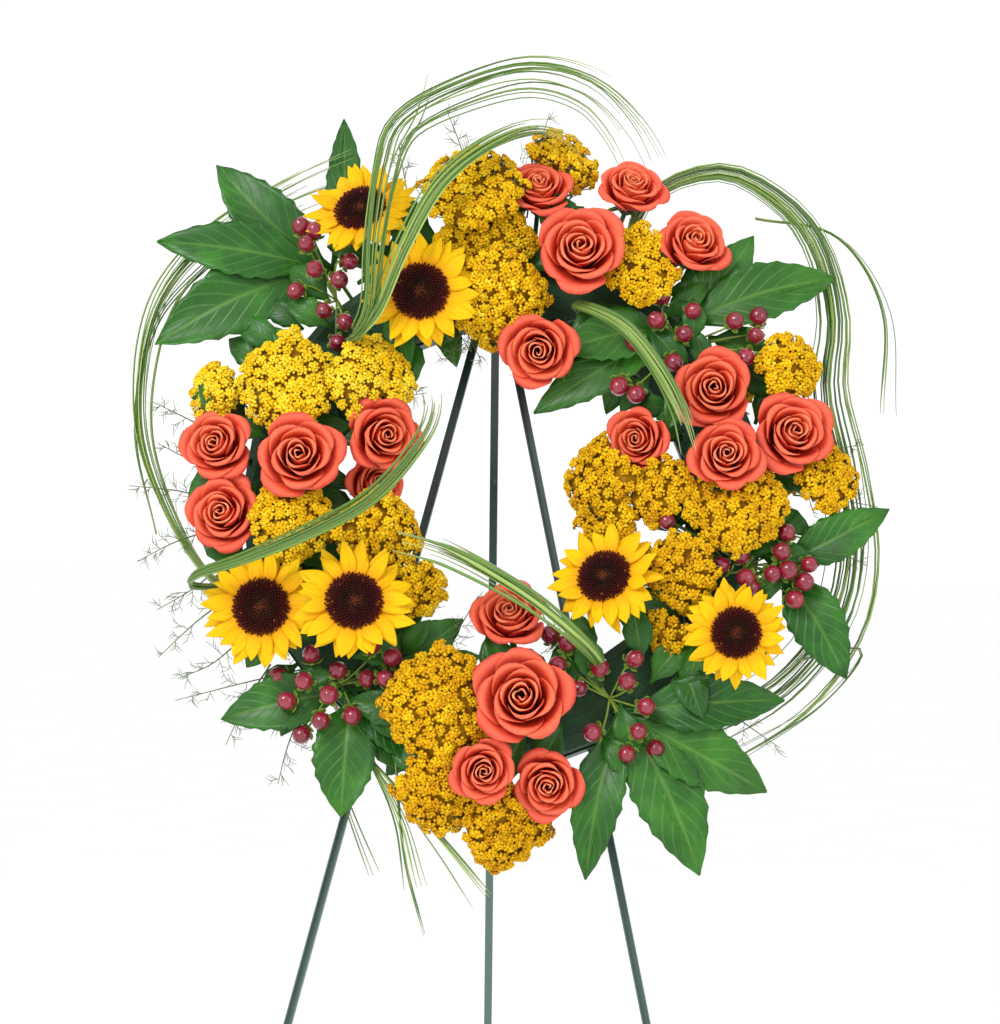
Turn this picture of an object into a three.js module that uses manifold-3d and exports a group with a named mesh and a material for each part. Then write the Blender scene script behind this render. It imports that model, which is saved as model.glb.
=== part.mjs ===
// A funeral wreath: fresh flowers in a ring of floral foam, hung on a folding three-legged steel easel.
// Millimetres, +Z up, the viewer stands at -Y. The origin is on the floor, below the middle of the whole piece.
//
// The wreath and the easel's front share one leaning frame: x to the right, y up the slope and z out of the
// ring towards the viewer, with the origin at the ring's centre and z = 0 at the back of the ring's tray.
// Flowers are set by clock position (degrees clockwise from twelve) and distance from the ring's centre.
import * as THREE from "three";
import { mergeVertices } from "three/addons/utils/BufferGeometryUtils.js";
import Module from "manifold-3d";

const wasm = await Module();
wasm.setup();

// ---- driving dimensions ----
const RING = { core: 194, halfWidth: 34, trayHeight: 18, trayWall: 1.6, foamTop: 52, segments: 24 };
const ROOT_HEIGHT = 26; // where a stem ends inside the foam, above the tray's back
const GAP = 0.35; // clearance between two pieces that touch
const STEM_RADIUS = 2.2;

const APEX = { x: -15.3, y: 219, height: 1244 }; // where the legs' lines meet, and its height over the floor
const FRONT_LEAN = THREE.MathUtils.degToRad(11.3);
const FRONT_SPREAD = THREE.MathUtils.degToRad(12.9);
const REAR_OPENING = THREE.MathUtils.degToRad(29); // between the rear leg and the plane of the front legs
const CHANNEL = { width: 7, depth: 6, wall: 1.1, length: 1330 };
const TOP_DROP = 15.7; // where the front legs' tops butt together, which stops them from spreading further
const PLATE = { halfWidth: 15, below: 70, above: 12, thickness: 2 };
const EAR = { inner: 4.3, thickness: 1.8, below: 9, above: 10, depth: 14 };
const PIN = { radius: 1.6, headRadius: 3.4, headThickness: 1.4 };
const RIVET = { radius: 1.2, headRadius: 2, headThickness: 1.3, drop: 27 };
const HOOK = { radius: 2, reach: 60, upturn: 20 };

// ---- the planting plan ----
// clock, radius and height place the bloom's middle; rootRadius (and rootClock) is where its stem enters the foam.
// A bloom faces between its stem's line and the wreath's front, because its neck bends towards the light.
const NECK_TURN = 0.8; // the front's weight in that, against 1 for the stem's line
const ROSES = [
  { clock: 5, radius: 270, height: 76, diameter: 66, rootRadius: 208 },
  { clock: 21, radius: 292, height: 72, diameter: 66, rootRadius: 212 },
  { clock: 17, radius: 214, height: 116, diameter: 84, rootRadius: 203 },
  { clock: 36, radius: 272, height: 84, diameter: 70, rootRadius: 212 },
  { clock: 14, radius: 123, height: 94, diameter: 72, rootRadius: 172 },
  { clock: 64, radius: 200, height: 102, diameter: 76, rootRadius: 206 },
  { clock: 69, radius: 124, height: 92, diameter: 62, rootRadius: 172 },
  { clock: 82, radius: 193, height: 122, diameter: 68, rootRadius: 188 },
  { clock: 78, radius: 253, height: 96, diameter: 78, rootRadius: 216 },
  { clock: 174, radius: 109, height: 84, diameter: 72, rootRadius: 172 },
  { clock: 172, radius: 186, height: 118, diameter: 90, rootRadius: 186 },
  { clock: 181, radius: 245, height: 106, diameter: 60, rootRadius: 208, rootClock: 184 },
  { clock: 169, radius: 257, height: 86, diameter: 66, rootRadius: 212, rootClock: 166 },
  { clock: 277, radius: 245, height: 96, diameter: 68, rootRadius: 216 },
  { clock: 276, radius: 171, height: 116, diameter: 80, rootRadius: 182 },
  { clock: 263, radius: 237, height: 92, diameter: 72, rootRadius: 214 },
  { clock: 293, radius: 108, height: 94, diameter: 72, rootRadius: 172 },
  { clock: 273, radius: 107, height: 66, diameter: 58, rootRadius: 170 },
];
const SUNFLOWERS = [
  { clock: 332, radius: 274, height: 84, diameter: 98, rootRadius: 214 },
  { clock: 336, radius: 179, height: 112, diameter: 104, rootRadius: 188 },
  { clock: 241, radius: 226, height: 92, diameter: 104, rootRadius: 210 },
  { clock: 228, radius: 159, height: 112, diameter: 104, rootRadius: 176 },
  { clock: 130, radius: 120, height: 96, diameter: 98, rootRadius: 170 },
  { clock: 121, radius: 236, height: 98, diameter: 92, rootRadius: 210 },
];
// One branched stem each: the first head stands straight on the stem and the others fork from it.
const YARROW = {
  yarrow_top: [
    { clock: 353, radius: 264, height: 88, diameter: 92, rootRadius: 200, rootClock: 352 },
    { clock: 357, radius: 168, height: 90, diameter: 88 },
    { clock: 355, radius: 219, height: 80, diameter: 84 },
    { clock: 8, radius: 305, height: 42, diameter: 72 },
  ],
  yarrow_top_right: [{ clock: 30, radius: 229, height: 88, diameter: 74, rootRadius: 200, rootClock: 28 }],
  yarrow_upper_left: [
    { clock: 295, radius: 202, height: 92, diameter: 90, rootRadius: 196, rootClock: 296 },
    { clock: 308, radius: 144, height: 92, diameter: 80 },
    { clock: 288, radius: 264, height: 64, diameter: 56 },
  ],
  yarrow_lower_left: [
    { clock: 259, radius: 181, height: 94, diameter: 76, rootRadius: 190, rootClock: 256 },
    { clock: 246, radius: 112, height: 84, diameter: 84 },
    { clock: 217, radius: 111, height: 74, diameter: 54 },
  ],
  yarrow_inner_right: [
    { clock: 89, radius: 132, height: 92, diameter: 64, rootRadius: 176, rootClock: 90 },
    { clock: 82, radius: 88, height: 78, diameter: 76 },
    { clock: 104, radius: 94, height: 76, diameter: 60 },
  ],
  yarrow_right: [
    { clock: 93, radius: 200, height: 94, diameter: 88, rootRadius: 196, rootClock: 94 },
    { clock: 114, radius: 169, height: 90, diameter: 70 },
    { clock: 130, radius: 187, height: 76, diameter: 42 },
  ],
  yarrow_upper_right: [{ clock: 65, radius: 268, height: 80, diameter: 60, rootRadius: 214 }],
  yarrow_outer_right: [{ clock: 86, radius: 278, height: 70, diameter: 60, rootRadius: 216, rootClock: 88 }],
  yarrow_bottom_left: [{ clock: 193, radius: 194, height: 94, diameter: 100, rootRadius: 196, rootClock: 196 }],
  yarrow_bottom: [
    { clock: 189, radius: 262, height: 80, diameter: 78, rootRadius: 208, rootClock: 190 },
    { clock: 177, radius: 287, height: 62, diameter: 80 },
  ],
};
// Each spray forks from one stem into bunches, and each bunch is a dome of berries.
const BERRY_SPRAYS = {
  berries_top_left: [
    { clock: 319, radius: 236, height: 92, spread: 32, count: 5, rootRadius: 204, rootClock: 318 },
    { clock: 314, radius: 204, height: 88, spread: 20, count: 3 },
    { clock: 322, radius: 284, height: 82, spread: 15, count: 3 },
  ],
  berries_top_right: [
    { clock: 46, radius: 198, height: 92, spread: 40, count: 7, rootRadius: 202, rootClock: 47 },
    { clock: 56, radius: 250, height: 88, spread: 25, count: 4 },
    { clock: 52, radius: 136, height: 88, spread: 16, count: 3 },
  ],
  berries_right: [
    { clock: 102, radius: 237, height: 92, spread: 34, count: 8, rootRadius: 212, rootClock: 105 },
    { clock: 110, radius: 214, height: 90, spread: 26, count: 4 },
    { clock: 106, radius: 264, height: 82, spread: 20, count: 4 },
    { clock: 101, radius: 139, height: 92, spread: 13, count: 2 },
  ],
  berries_bottom_left: [
    { clock: 219, radius: 235, height: 90, spread: 44, count: 10, rootRadius: 206, rootClock: 218 },
    { clock: 212, radius: 175, height: 90, spread: 20, count: 3 },
  ],
  berries_bottom_right: [
    { clock: 148, radius: 193, height: 92, spread: 32, count: 5, rootRadius: 202, rootClock: 150 },
    { clock: 151, radius: 235, height: 88, spread: 33, count: 6 },
    { clock: 158, radius: 143, height: 88, spread: 20, count: 3 },
  ],
};
const BERRY_RADIUS = 8.4;
// Aralia leaves: the hub where the lobes meet, then each lobe's tip and greatest width.
const LEAVES = {
  leaf_top_left: {
    hub: { clock: 322, radius: 252, height: 44 },
    rootRadius: 212,
    lobes: [
      { clock: 318, radius: 389, height: 56, width: 52 },
      { clock: 305, radius: 375, height: 68, width: 50 },
      { clock: 292, radius: 329, height: 60, width: 62 },
      { clock: 336, radius: 377, height: 28, width: 32 },
    ],
  },
  leaf_top_right: {
    hub: { clock: 44, radius: 208, height: 58 },
    rootRadius: 196,
    rootClock: 41,
    lobes: [
      { clock: 42, radius: 315, height: 60, width: 42 },
      { clock: 55, radius: 345, height: 66, width: 52 },
      { clock: 21, radius: 131, height: 84, width: 46 },
      { clock: 20, radius: 75, height: 68, width: 42 },
    ],
  },
  leaf_right: {
    hub: { clock: 103, radius: 244, height: 56 },
    rootRadius: 214,
    rootClock: 108,
    lobes: [
      { clock: 91, radius: 331, height: 70, width: 40 },
      { clock: 117, radius: 334, height: 58, width: 48 },
    ],
  },
  leaf_bottom_right: {
    hub: { clock: 150, radius: 214, height: 58 },
    rootRadius: 202,
    rootClock: 154,
    lobes: [
      { clock: 166, radius: 338, height: 64, width: 44 },
      { clock: 151, radius: 367, height: 60, width: 60 },
      { clock: 137, radius: 341, height: 56, width: 56 },
      { clock: 125, radius: 300, height: 62, width: 48 },
    ],
  },
  leaf_bottom_left: {
    hub: { clock: 215, radius: 214, height: 58 },
    rootRadius: 204,
    rootClock: 211,
    lobes: [
      { clock: 229, radius: 307, height: 60, width: 48 },
      { clock: 204, radius: 309, height: 60, width: 54 },
      { clock: 194, radius: 241, height: 62, width: 40 },
      { clock: 195, radius: 113, height: 58, width: 44 },
    ],
  },
};
const LEAF_THICKNESS = 2;
const LEAF_ARCH = 0.07; // how far a lobe bows up, as a share of its length
// Bear grass: a strand's route is a list of [clock, radius, height], from its root in the foam to its tips.
const GRASS = {
  grass_left_loop: [
    {
      thickness: 8,
      route: [[249, 214, 26], [250, 244, 44], [251, 274, 76], [251, 266, 112], [250, 226, 134], [251, 164, 142],
        [257, 108, 146], [286, 72, 140], [316, 80, 126], [329, 122, 104]],
    },
    {
      thickness: 8,
      route: [[249, 214, 26], [252, 258, 56], [268, 291, 52], [282, 320, 50], [298, 343, 46], [311, 341, 44], [325, 328, 42],
        [337, 322, 40]],
    },
  ],
  grass_top_loop: [
    {
      thickness: 8,
      route: [[317, 190, 26], [314, 188, 70], [315, 178, 112], [323, 178, 138], [336, 214, 148], [347, 261, 142],
        [357, 300, 116], [5, 326, 76], [14, 322, 40]],
    },
    {
      thickness: 8,
      route: [[317, 190, 26], [314, 188, 70], [315, 178, 112], [322, 184, 138], [331, 228, 142], [339, 290, 120],
        [344, 330, 96], [353, 356, 74], [2, 375, 60], [10, 371, 52], [17, 347, 46], [23, 318, 38]],
    },
    {
      thickness: 2.4,
      route: [[317, 190, 26], [314, 188, 70], [315, 178, 112], [322, 182, 138], [332, 228, 144], [340, 290, 122],
        [346, 338, 90], [349, 385, 68], [351, 430, 60]],
    },
  ],
  grass_right_loop: [
    {
      thickness: 8,
      route: [[29, 206, 26], [23, 290, 32], [31, 346, 44], [41, 357, 52], [50, 350, 56], [60, 328, 50], [70, 300, 44],
        [84, 300, 40], [98, 310, 40], [110, 311, 40], [124, 296, 42], [139, 270, 44], [157, 250, 44]],
    },
  ],
  grass_front_comb: [
    { thickness: 8, route: [[24, 176, 26], [20, 172, 88], [36, 167, 128], [52, 163, 136], [68, 163, 138], [84, 166, 150]] },
  ],
  grass_bottom_comb: [
    { thickness: 9, route: [[151, 178, 26], [149, 174, 96], [154, 138, 128], [168, 97, 128], [210, 76, 126], [240, 104, 130]] },
  ],
};
const FERN = {
  root: { clock: 226, radius: 214 },
  twig: [[226, 214, 26], [230, 246, 40], [233, 290, 44], [236, 330, 46]],
  needle: 26,
  pairs: 7,
};

// ---- geometry helpers ----
const TURN_TO_Z = new THREE.Matrix4().makeRotationX(Math.PI / 2);

function at({ clock, radius, height }) {
  const a = THREE.MathUtils.degToRad(clock);
  return new THREE.Vector3(radius * Math.sin(a), radius * Math.cos(a), height);
}

function rootOf({ clock, rootClock = clock, rootRadius }) {
  return at({ clock: rootClock, radius: rootRadius, height: ROOT_HEIGHT });
}

// A frame at a bloom, with its z axis along the stem.
function facing(origin, axis) {
  const z = axis.clone().normalize();
  const up = Math.abs(z.y) < 0.95 ? new THREE.Vector3(0, 1, 0) : new THREE.Vector3(0, 0, -1);
  const x = up.cross(z).normalize();
  const y = z.clone().cross(x);
  return new THREE.Matrix4().makeBasis(x, y, z).setPosition(origin);
}

function solidOf(geometry) {
  const bare = new THREE.BufferGeometry().setAttribute("position", geometry.getAttribute("position"));
  const merged = mergeVertices(geometry.index ? bare.setIndex(geometry.index) : bare, 1e-3);
  const triVerts = [];
  const index = merged.index.array;
  for (let i = 0; i < index.length; i += 3) {
    const [a, b, c] = [index[i], index[i + 1], index[i + 2]];
    if (a !== b && b !== c && c !== a) triVerts.push(a, b, c);
  }
  const vertProperties = merged.getAttribute("position").array;
  const made = new wasm.Manifold(new wasm.Mesh({ numProp: 3, vertProperties, triVerts: new Uint32Array(triVerts) }));
  if (made.volume() > 0) return made;
  const flipped = new Uint32Array(triVerts);
  for (let i = 0; i < flipped.length; i += 3) [flipped[i], flipped[i + 1]] = [flipped[i + 1], flipped[i]];
  return new wasm.Manifold(new wasm.Mesh({ numProp: 3, vertProperties, triVerts: flipped }));
}

function geometryOf(solid) {
  const mesh = solid.getMesh();
  const position = new Float32Array(mesh.numVert * 3);
  for (let i = 0; i < mesh.numVert; i++) {
    position.set(mesh.vertProperties.subarray(i * mesh.numProp, i * mesh.numProp + 3), i * 3);
  }
  const geometry = new THREE.BufferGeometry();
  geometry.setAttribute("position", new THREE.BufferAttribute(position, 3));
  geometry.setIndex(new THREE.BufferAttribute(new Uint32Array(mesh.triVerts), 1));
  const faceted = geometry.toNonIndexed();
  faceted.computeVertexNormals();
  return faceted;
}

const joined = (solids) => solids.reduce((all, one) => all.add(one));
const placed = (geometry, matrix) => solidOf(geometry.clone().applyMatrix4(matrix));
const largest = (solid) => solid.decompose().sort((a, b) => b.volume() - a.volume())[0];

// A profile of [radius, height] points turned round z; shape(angle, radius) may vary each point's radius.
function turned(profile, segments, shape = (angle, radius) => radius) {
  const geometry = new THREE.LatheGeometry(profile.map(([r, h]) => new THREE.Vector2(r, h)), segments);
  const p = geometry.getAttribute("position");
  for (let i = 0; i < p.count; i++) {
    const radius = Math.hypot(p.getX(i), p.getZ(i));
    if (radius < 1e-6) continue;
    const scale = shape(Math.atan2(p.getX(i), p.getZ(i)), radius) / radius;
    p.setXYZ(i, p.getX(i) * scale, p.getY(i), p.getZ(i) * scale);
  }
  return geometry.applyMatrix4(TURN_TO_Z);
}

function block(x, y, z) {
  const geometry = new THREE.BoxGeometry(x[1] - x[0], y[1] - y[0], z[1] - z[0]);
  return solidOf(geometry.translate((x[0] + x[1]) / 2, (y[0] + y[1]) / 2, (z[0] + z[1]) / 2));
}

// A straight rod with a few sides, from one point to another, its end radii free to differ.
function rod(from, to, radius, endRadius = radius, sides = 6) {
  const geometry = new THREE.CylinderGeometry(endRadius, radius, from.distanceTo(to), sides);
  const middle = from.clone().add(to).multiplyScalar(0.5);
  return placed(geometry.applyMatrix4(TURN_TO_Z), facing(middle, to.clone().sub(from)));
}

function regularShape(radius, sides) {
  const shape = new THREE.Shape();
  for (let i = 0; i < sides; i++) {
    const a = (i / sides) * 2 * Math.PI;
    if (i === 0) shape.moveTo(radius, 0);
    else shape.lineTo(radius * Math.cos(a), radius * Math.sin(a));
  }
  return shape;
}

function sweep(points, radius, sides, steps) {
  const path = new THREE.CatmullRomCurve3(points);
  return solidOf(
    new THREE.ExtrudeGeometry(regularShape(radius, sides), { steps, extrudePath: path, bevelEnabled: false }),
  );
}

// ---- flowers ----
const FRONT = new THREE.Vector3(0, 0, 1);
const NECK_DEPTH = 0.16; // how far a stem reaches into its head, in head radii

// Every maker takes `grow`, which swells the piece by that much: the swollen copy cuts room for it in its neighbours.

// An outline in head radii, from the calyx up to the middle of the top, at full size and swollen by grow.
function headProfile(outline, r, grow) {
  const widest = outline.reduce((best, point) => (point[0] > best[0] ? point : best));
  return outline.map(([x, h]) => [x > 0 ? x * r + grow : 0, h * r + Math.sign(h - widest[1]) * grow]);
}

function headOnStem(plan, outline, grow, segments, shape) {
  const head = at(plan);
  const root = rootOf(plan);
  const rise = head.clone().sub(root).normalize();
  const axis = rise.clone().addScaledVector(FRONT, NECK_TURN).normalize();
  const r = plan.diameter / 2;
  const profile = headProfile(outline, r, grow);
  const bloom = placed(turned([[0, profile[0][1]], ...profile], segments, shape), facing(head, axis));
  const neck = head.clone().addScaledVector(axis, (outline[0][1] + NECK_DEPTH) * r);
  const stem = rod(root.addScaledVector(rise, -grow), neck, STEM_RADIUS + grow, undefined, 8);
  return bloom.add(stem);
}

const ROSE_OUTLINE = [[0.22, -1.12], [0.66, -0.72], [0.9, -0.25], [1, 0.1], [0.72, 0.34], [0.36, 0.3], [0, 0.2]];
const ROSE_PETALS = 5;

function rose(plan, grow = 0) {
  const lobed = (angle, radius) => radius * (1 + (radius > 10 ? 0.05 * Math.cos(ROSE_PETALS * angle) : 0));
  return headOnStem(plan, ROSE_OUTLINE, grow, 10, lobed);
}

const SUNFLOWER_OUTLINE = [[0.14, -0.34], [1, -0.02], [0.5, 0.07], [0.46, 0.16], [0, 0.2]];
const SUNFLOWER_RAYS = 12;

function sunflower(plan, grow = 0) {
  const rim = plan.diameter * 0.4;
  const rayed = (angle, radius) => radius * (radius > rim ? 0.93 + 0.07 * Math.cos(SUNFLOWER_RAYS * angle) : 1);
  return headOnStem(plan, SUNFLOWER_OUTLINE, grow, 2 * SUNFLOWER_RAYS, rayed);
}

const YARROW_OUTLINE = [[0.12, -0.7], [1, 0.04], [0.8, 0.26], [0, 0.38]];

function yarrow(heads, grow = 0) {
  const [main, ...others] = heads;
  const mainAt = at(main);
  const root = rootOf(main);
  const fork = root.clone().lerp(mainAt, 0.42);
  const clumped = (angle, radius) => radius * (1 + (radius > 10 ? 0.06 * Math.cos(4 * angle) : 0));
  const solids = [headOnStem(main, YARROW_OUTLINE, grow, 8, clumped)];
  for (const head of others) {
    const r = head.diameter / 2;
    const outline = headProfile(YARROW_OUTLINE, r, grow);
    const leaning = at(head).sub(fork).normalize().add(new THREE.Vector3(0, 0, 1)).normalize();
    solids.push(placed(turned([[0, outline[0][1]], ...outline], 8, clumped), facing(at(head), leaning)));
    solids.push(rod(fork, at(head).addScaledVector(leaning, -0.5 * r), STEM_RADIUS + grow, undefined, 5));
  }
  return joined(solids);
}

// Berries sit on a shallow dome, in the spiral that a branching stem makes.
const GOLDEN_ANGLE = Math.PI * (3 - Math.sqrt(5));
const STALK_RADIUS = 1.3;

function berrySpray(bunches, grow = 0) {
  const root = rootOf(bunches[0]);
  const fork = root.clone().lerp(at(bunches[0]), 0.4);
  const solids = [rod(root, fork, STEM_RADIUS + grow)];
  for (const bunch of bunches) {
    const middle = at(bunch);
    const axis = middle.clone().sub(fork).normalize().add(new THREE.Vector3(0, 0, 1));
    const matrix = facing(middle, axis);
    const hub = fork.clone().lerp(middle, 0.5);
    solids.push(rod(fork, hub, STALK_RADIUS + grow, undefined, 4));
    for (let i = 0; i < bunch.count; i++) {
      const out = bunch.spread * Math.sqrt((i + 0.5) / bunch.count);
      const a = i * GOLDEN_ANGLE;
      const centre = new THREE.Vector3(out * Math.cos(a), out * Math.sin(a), -0.012 * out * out).applyMatrix4(matrix);
      solids.push(solidOf(new THREE.SphereGeometry(BERRY_RADIUS + grow, 5, 3).translate(...centre.toArray())));
      solids.push(rod(hub, centre, STALK_RADIUS + grow, undefined, 3));
    }
  }
  return joined(solids);
}

// One lobe of an aralia leaf: a blade with a raised midrib, widest at about half its length.
const LOBE_STATIONS = [0, 0.2, 0.45, 0.7, 0.88];
const LOBE_WIDTHS = [0.2, 0.45, 1, 0.86, 0.45];

function lobe(hub, tip, width, grow) {
  const along = tip.clone().sub(hub);
  const side = new THREE.Vector3(0, 0, 1).cross(along).normalize();
  const up = along.clone().cross(side).normalize();
  const half = LEAF_THICKNESS / 2 + grow;
  const vertices = [];
  LOBE_STATIONS.forEach((t, k) => {
    const arch = LEAF_ARCH * along.length() * Math.sin(Math.PI * t);
    const middle = hub.clone().addScaledVector(along, t).addScaledVector(up, arch);
    const reach = (width / 2) * LOBE_WIDTHS[k] + grow;
    const edge = (s) => middle.clone().addScaledVector(side, s * reach).addScaledVector(up, 0.16 * reach);
    vertices.push(edge(-1), middle.clone().addScaledVector(up, half), edge(1), middle.clone().addScaledVector(up, -half));
  });
  vertices.push(tip.clone().addScaledVector(along, grow / along.length()));
  const rows = LOBE_STATIONS.length;
  const index = [0, 1, 2, 0, 2, 3];
  for (let k = 0; k + 1 < rows; k++) {
    for (let j = 0; j < 4; j++) {
      const [a, b] = [4 * k + j, 4 * k + ((j + 1) % 4)];
      index.push(a, a + 4, b, b, a + 4, b + 4);
    }
  }
  const last = 4 * (rows - 1);
  for (let j = 0; j < 4; j++) index.push(last + j, 4 * rows, last + ((j + 1) % 4));
  const geometry = new THREE.BufferGeometry().setFromPoints(vertices);
  return solidOf(geometry.setIndex(index));
}

function leaf(plan, grow = 0) {
  const hub = at(plan.hub);
  const root = rootOf({ clock: plan.hub.clock, ...plan });
  const blades = plan.lobes.map((one) => lobe(hub, at(one), one.width, grow));
  return joined([rod(root, hub, STEM_RADIUS + grow), ...blades]);
}

function grass(strands, grow = 0) {
  return joined(strands.map(({ thickness, route }) => {
    const points = route.map(([clock, radius, height]) => at({ clock, radius, height }));
    return sweep(points, thickness / 2 + grow, 5, Math.round(points.length * 2.6));
  }));
}

function fern({ twig, needle, pairs }, grow = 0) {
  const points = twig.map(([clock, radius, height]) => at({ clock, radius, height }));
  const path = new THREE.CatmullRomCurve3(points);
  const solids = [sweep(points, 1.4 + grow, 4, 8)];
  for (let i = 0; i < pairs; i++) {
    const t = 0.45 + (0.5 * i) / (pairs - 1);
    const base = path.getPoint(t);
    const ahead = path.getTangent(t);
    for (const side of [-1, 1]) {
      const out = new THREE.Vector3(-ahead.y * side, ahead.x * side, 0.35).add(ahead).normalize();
      solids.push(rod(base, base.clone().addScaledVector(out, needle * (1.2 - t * 0.6)), 1 + grow, 0.6 + grow, 3));
    }
  }
  return joined(solids);
}

// ---- foam ring and its tray ----
function ringTray() {
  const { core, halfWidth, trayHeight, trayWall, segments } = RING;
  const [inside, outside] = [core - halfWidth, core + halfWidth];
  const profile = [
    [inside, 0], [outside, 0], [outside, trayHeight], [outside - trayWall, trayHeight],
    [outside - trayWall, trayWall], [inside + trayWall, trayWall], [inside + trayWall, trayHeight],
    [inside, trayHeight], [inside, 0],
  ];
  return solidOf(turned(profile, segments));
}

function foamRing() {
  const { core, halfWidth, trayWall, foamTop, segments } = RING;
  const w = halfWidth - trayWall - GAP;
  const base = trayWall + GAP;
  const section = [[-w, base], [w, base], [w, foamTop - 17], [w - 9, foamTop - 5], [w - 22, foamTop],
    [22 - w, foamTop], [9 - w, foamTop - 5], [-w, foamTop - 17], [-w, base]];
  return solidOf(turned(section.map(([x, h]) => [core + x, h]), segments));
}

// The hole that a stem has made in the foam.
function stemHole(root, towards) {
  const away = towards.clone().sub(root).normalize();
  const bottom = root.clone().addScaledVector(away, -1);
  return rod(bottom, root.clone().addScaledVector(away, 48), 1.7 * STEM_RADIUS, undefined, 4);
}

// ---- easel ----
const LEG_BACK = -GAP - CHANNEL.depth; // the front legs' webs
const PLATE_FRONT = LEG_BACK - GAP;
const PLATE_BACK = PLATE_FRONT - PLATE.thickness;
const REAR_TOP = 9; // how far the rear leg reaches above its pin, to bear on the plate
const PIN_DEPTH = CHANNEL.depth - 2.5; // from the pin to the rear leg's front face
const PIN_Z = PLATE_BACK - GAP - REAR_TOP * Math.sin(REAR_OPENING) - PIN_DEPTH * Math.cos(REAR_OPENING);
const apexPoint = new THREE.Vector3(APEX.x, APEX.y, 0);
const pinPoint = new THREE.Vector3(APEX.x, APEX.y, PIN_Z);

// A length of rolled U-channel that runs down -y from the origin, its web at z = 0 and its flanges towards +z.
function channel(length, above = 0) {
  const { width, depth, wall } = CHANNEL;
  const [o, i] = [width / 2, width / 2 - wall];
  const shape = new THREE.Shape([[-o, 0], [o, 0], [o, depth], [i, depth], [i, wall], [-i, wall], [-i, depth], [-o, depth]]
    .map(([x, y]) => new THREE.Vector2(x, y)));
  const geometry = new THREE.ExtrudeGeometry(shape, { depth: length + above, bevelEnabled: false });
  return geometry.rotateX(Math.PI / 2).translate(0, above, 0);
}

// The leaning frame's place over the floor: the apex is APEX.height up.
const lean = new THREE.Matrix4().makeRotationX(Math.PI / 2 - FRONT_LEAN);
const apexRise = apexPoint.clone().applyMatrix4(lean).z;
lean.setPosition(0, 0, APEX.height - apexRise);
const floor = block([-900, 900], [-900, 900], [-400, 0]).transform(lean.clone().invert().toArray());

function legLine(side, drop) {
  return new THREE.Vector3(APEX.x + side * drop * Math.tan(FRONT_SPREAD), APEX.y - drop, 0);
}

function frontLeg(side) {
  const turn = new THREE.Matrix4().makeRotationZ(side * FRONT_SPREAD);
  turn.setPosition(legLine(side, TOP_DROP).setZ(LEG_BACK));
  const at = legLine(side, RIVET.drop);
  const hole = rod(at.clone().setZ(LEG_BACK - 1), at.clone().setZ(LEG_BACK + 2), RIVET.radius + GAP, undefined, 8);
  return largest(placed(channel(CHANNEL.length), turn).subtract(floor).subtract(hole));
}

function legRivet(side) {
  const at = legLine(side, RIVET.drop);
  const front = LEG_BACK + CHANNEL.wall + GAP;
  const back = PLATE_BACK - GAP;
  return joined([
    rod(at.clone().setZ(back - 0.5), at.clone().setZ(front + 0.5), RIVET.radius, undefined, 8),
    rod(at.clone().setZ(front), at.clone().setZ(front + RIVET.headThickness), RIVET.headRadius, undefined, 8),
    rod(at.clone().setZ(back - RIVET.headThickness), at.clone().setZ(back), RIVET.headRadius, undefined, 8),
  ]);
}

function rearLeg() {
  const down = new THREE.Matrix4().makeRotationX(REAR_OPENING).setPosition(pinPoint);
  const body = channel(CHANNEL.length, REAR_TOP).rotateY(Math.PI).translate(0, 0, PIN_DEPTH);
  const hole = pinRod(2 * CHANNEL.width, PIN.radius + GAP);
  return largest(placed(body, down).subtract(floor).subtract(hole));
}

function pinRod(length, radius) {
  const end = new THREE.Vector3(length / 2, 0, 0);
  return rod(pinPoint.clone().sub(end), pinPoint.clone().add(end), radius, undefined, 8);
}

function hingePin() {
  const outside = 2 * (EAR.inner + EAR.thickness + GAP);
  const head = (side) => {
    const at = (x) => pinPoint.clone().add(new THREE.Vector3(side * x, 0, 0));
    return rod(at(outside / 2), at(outside / 2 + PIN.headThickness), PIN.headRadius, undefined, 8);
  };
  return joined([pinRod(outside + 1, PIN.radius), head(-1), head(1)]);
}

function headBracket() {
  const { x, y } = APEX;
  const plate = block([x - PLATE.halfWidth, x + PLATE.halfWidth], [y - PLATE.below, y + PLATE.above], [PLATE_BACK, PLATE_FRONT]);
  const ear = (side) => {
    const xs = [x + side * EAR.inner, x + side * (EAR.inner + EAR.thickness)].sort((a, b) => a - b);
    return block(xs, [y - EAR.below, y + EAR.above], [PLATE_BACK - EAR.depth, PLATE_BACK + 0.5]);
  };
  const rivetHole = (side) => {
    const at = legLine(side, RIVET.drop);
    return rod(at.clone().setZ(PLATE_BACK - 1), at.clone().setZ(PLATE_FRONT + 1), RIVET.radius + GAP, undefined, 8);
  };
  return joined([plate, ear(-1), ear(1)])
    .subtract(rivetHole(-1))
    .subtract(rivetHole(1))
    .subtract(pinRod(40, PIN.radius + GAP));
}

// The wire hook that carries the ring: out through the ring's hole below the tray, then up before the foam.
const hookY = Math.sqrt((RING.core - RING.halfWidth) ** 2 - APEX.x ** 2) - HOOK.radius - 4 * GAP;

function wreathHook(grow = 0) {
  const corner = new THREE.Vector3(APEX.x, hookY, HOOK.reach);
  const start = new THREE.Vector3(APEX.x, hookY, PLATE_FRONT + GAP - grow);
  const tip = new THREE.Vector3(APEX.x, hookY + HOOK.upturn + grow, HOOK.reach);
  const overlap = new THREE.Vector3(0, 0, HOOK.radius);
  return joined([
    rod(start, corner.clone().add(overlap), HOOK.radius + grow),
    rod(corner.clone().setY(hookY - HOOK.radius), tip, HOOK.radius + grow),
  ]);
}

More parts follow.
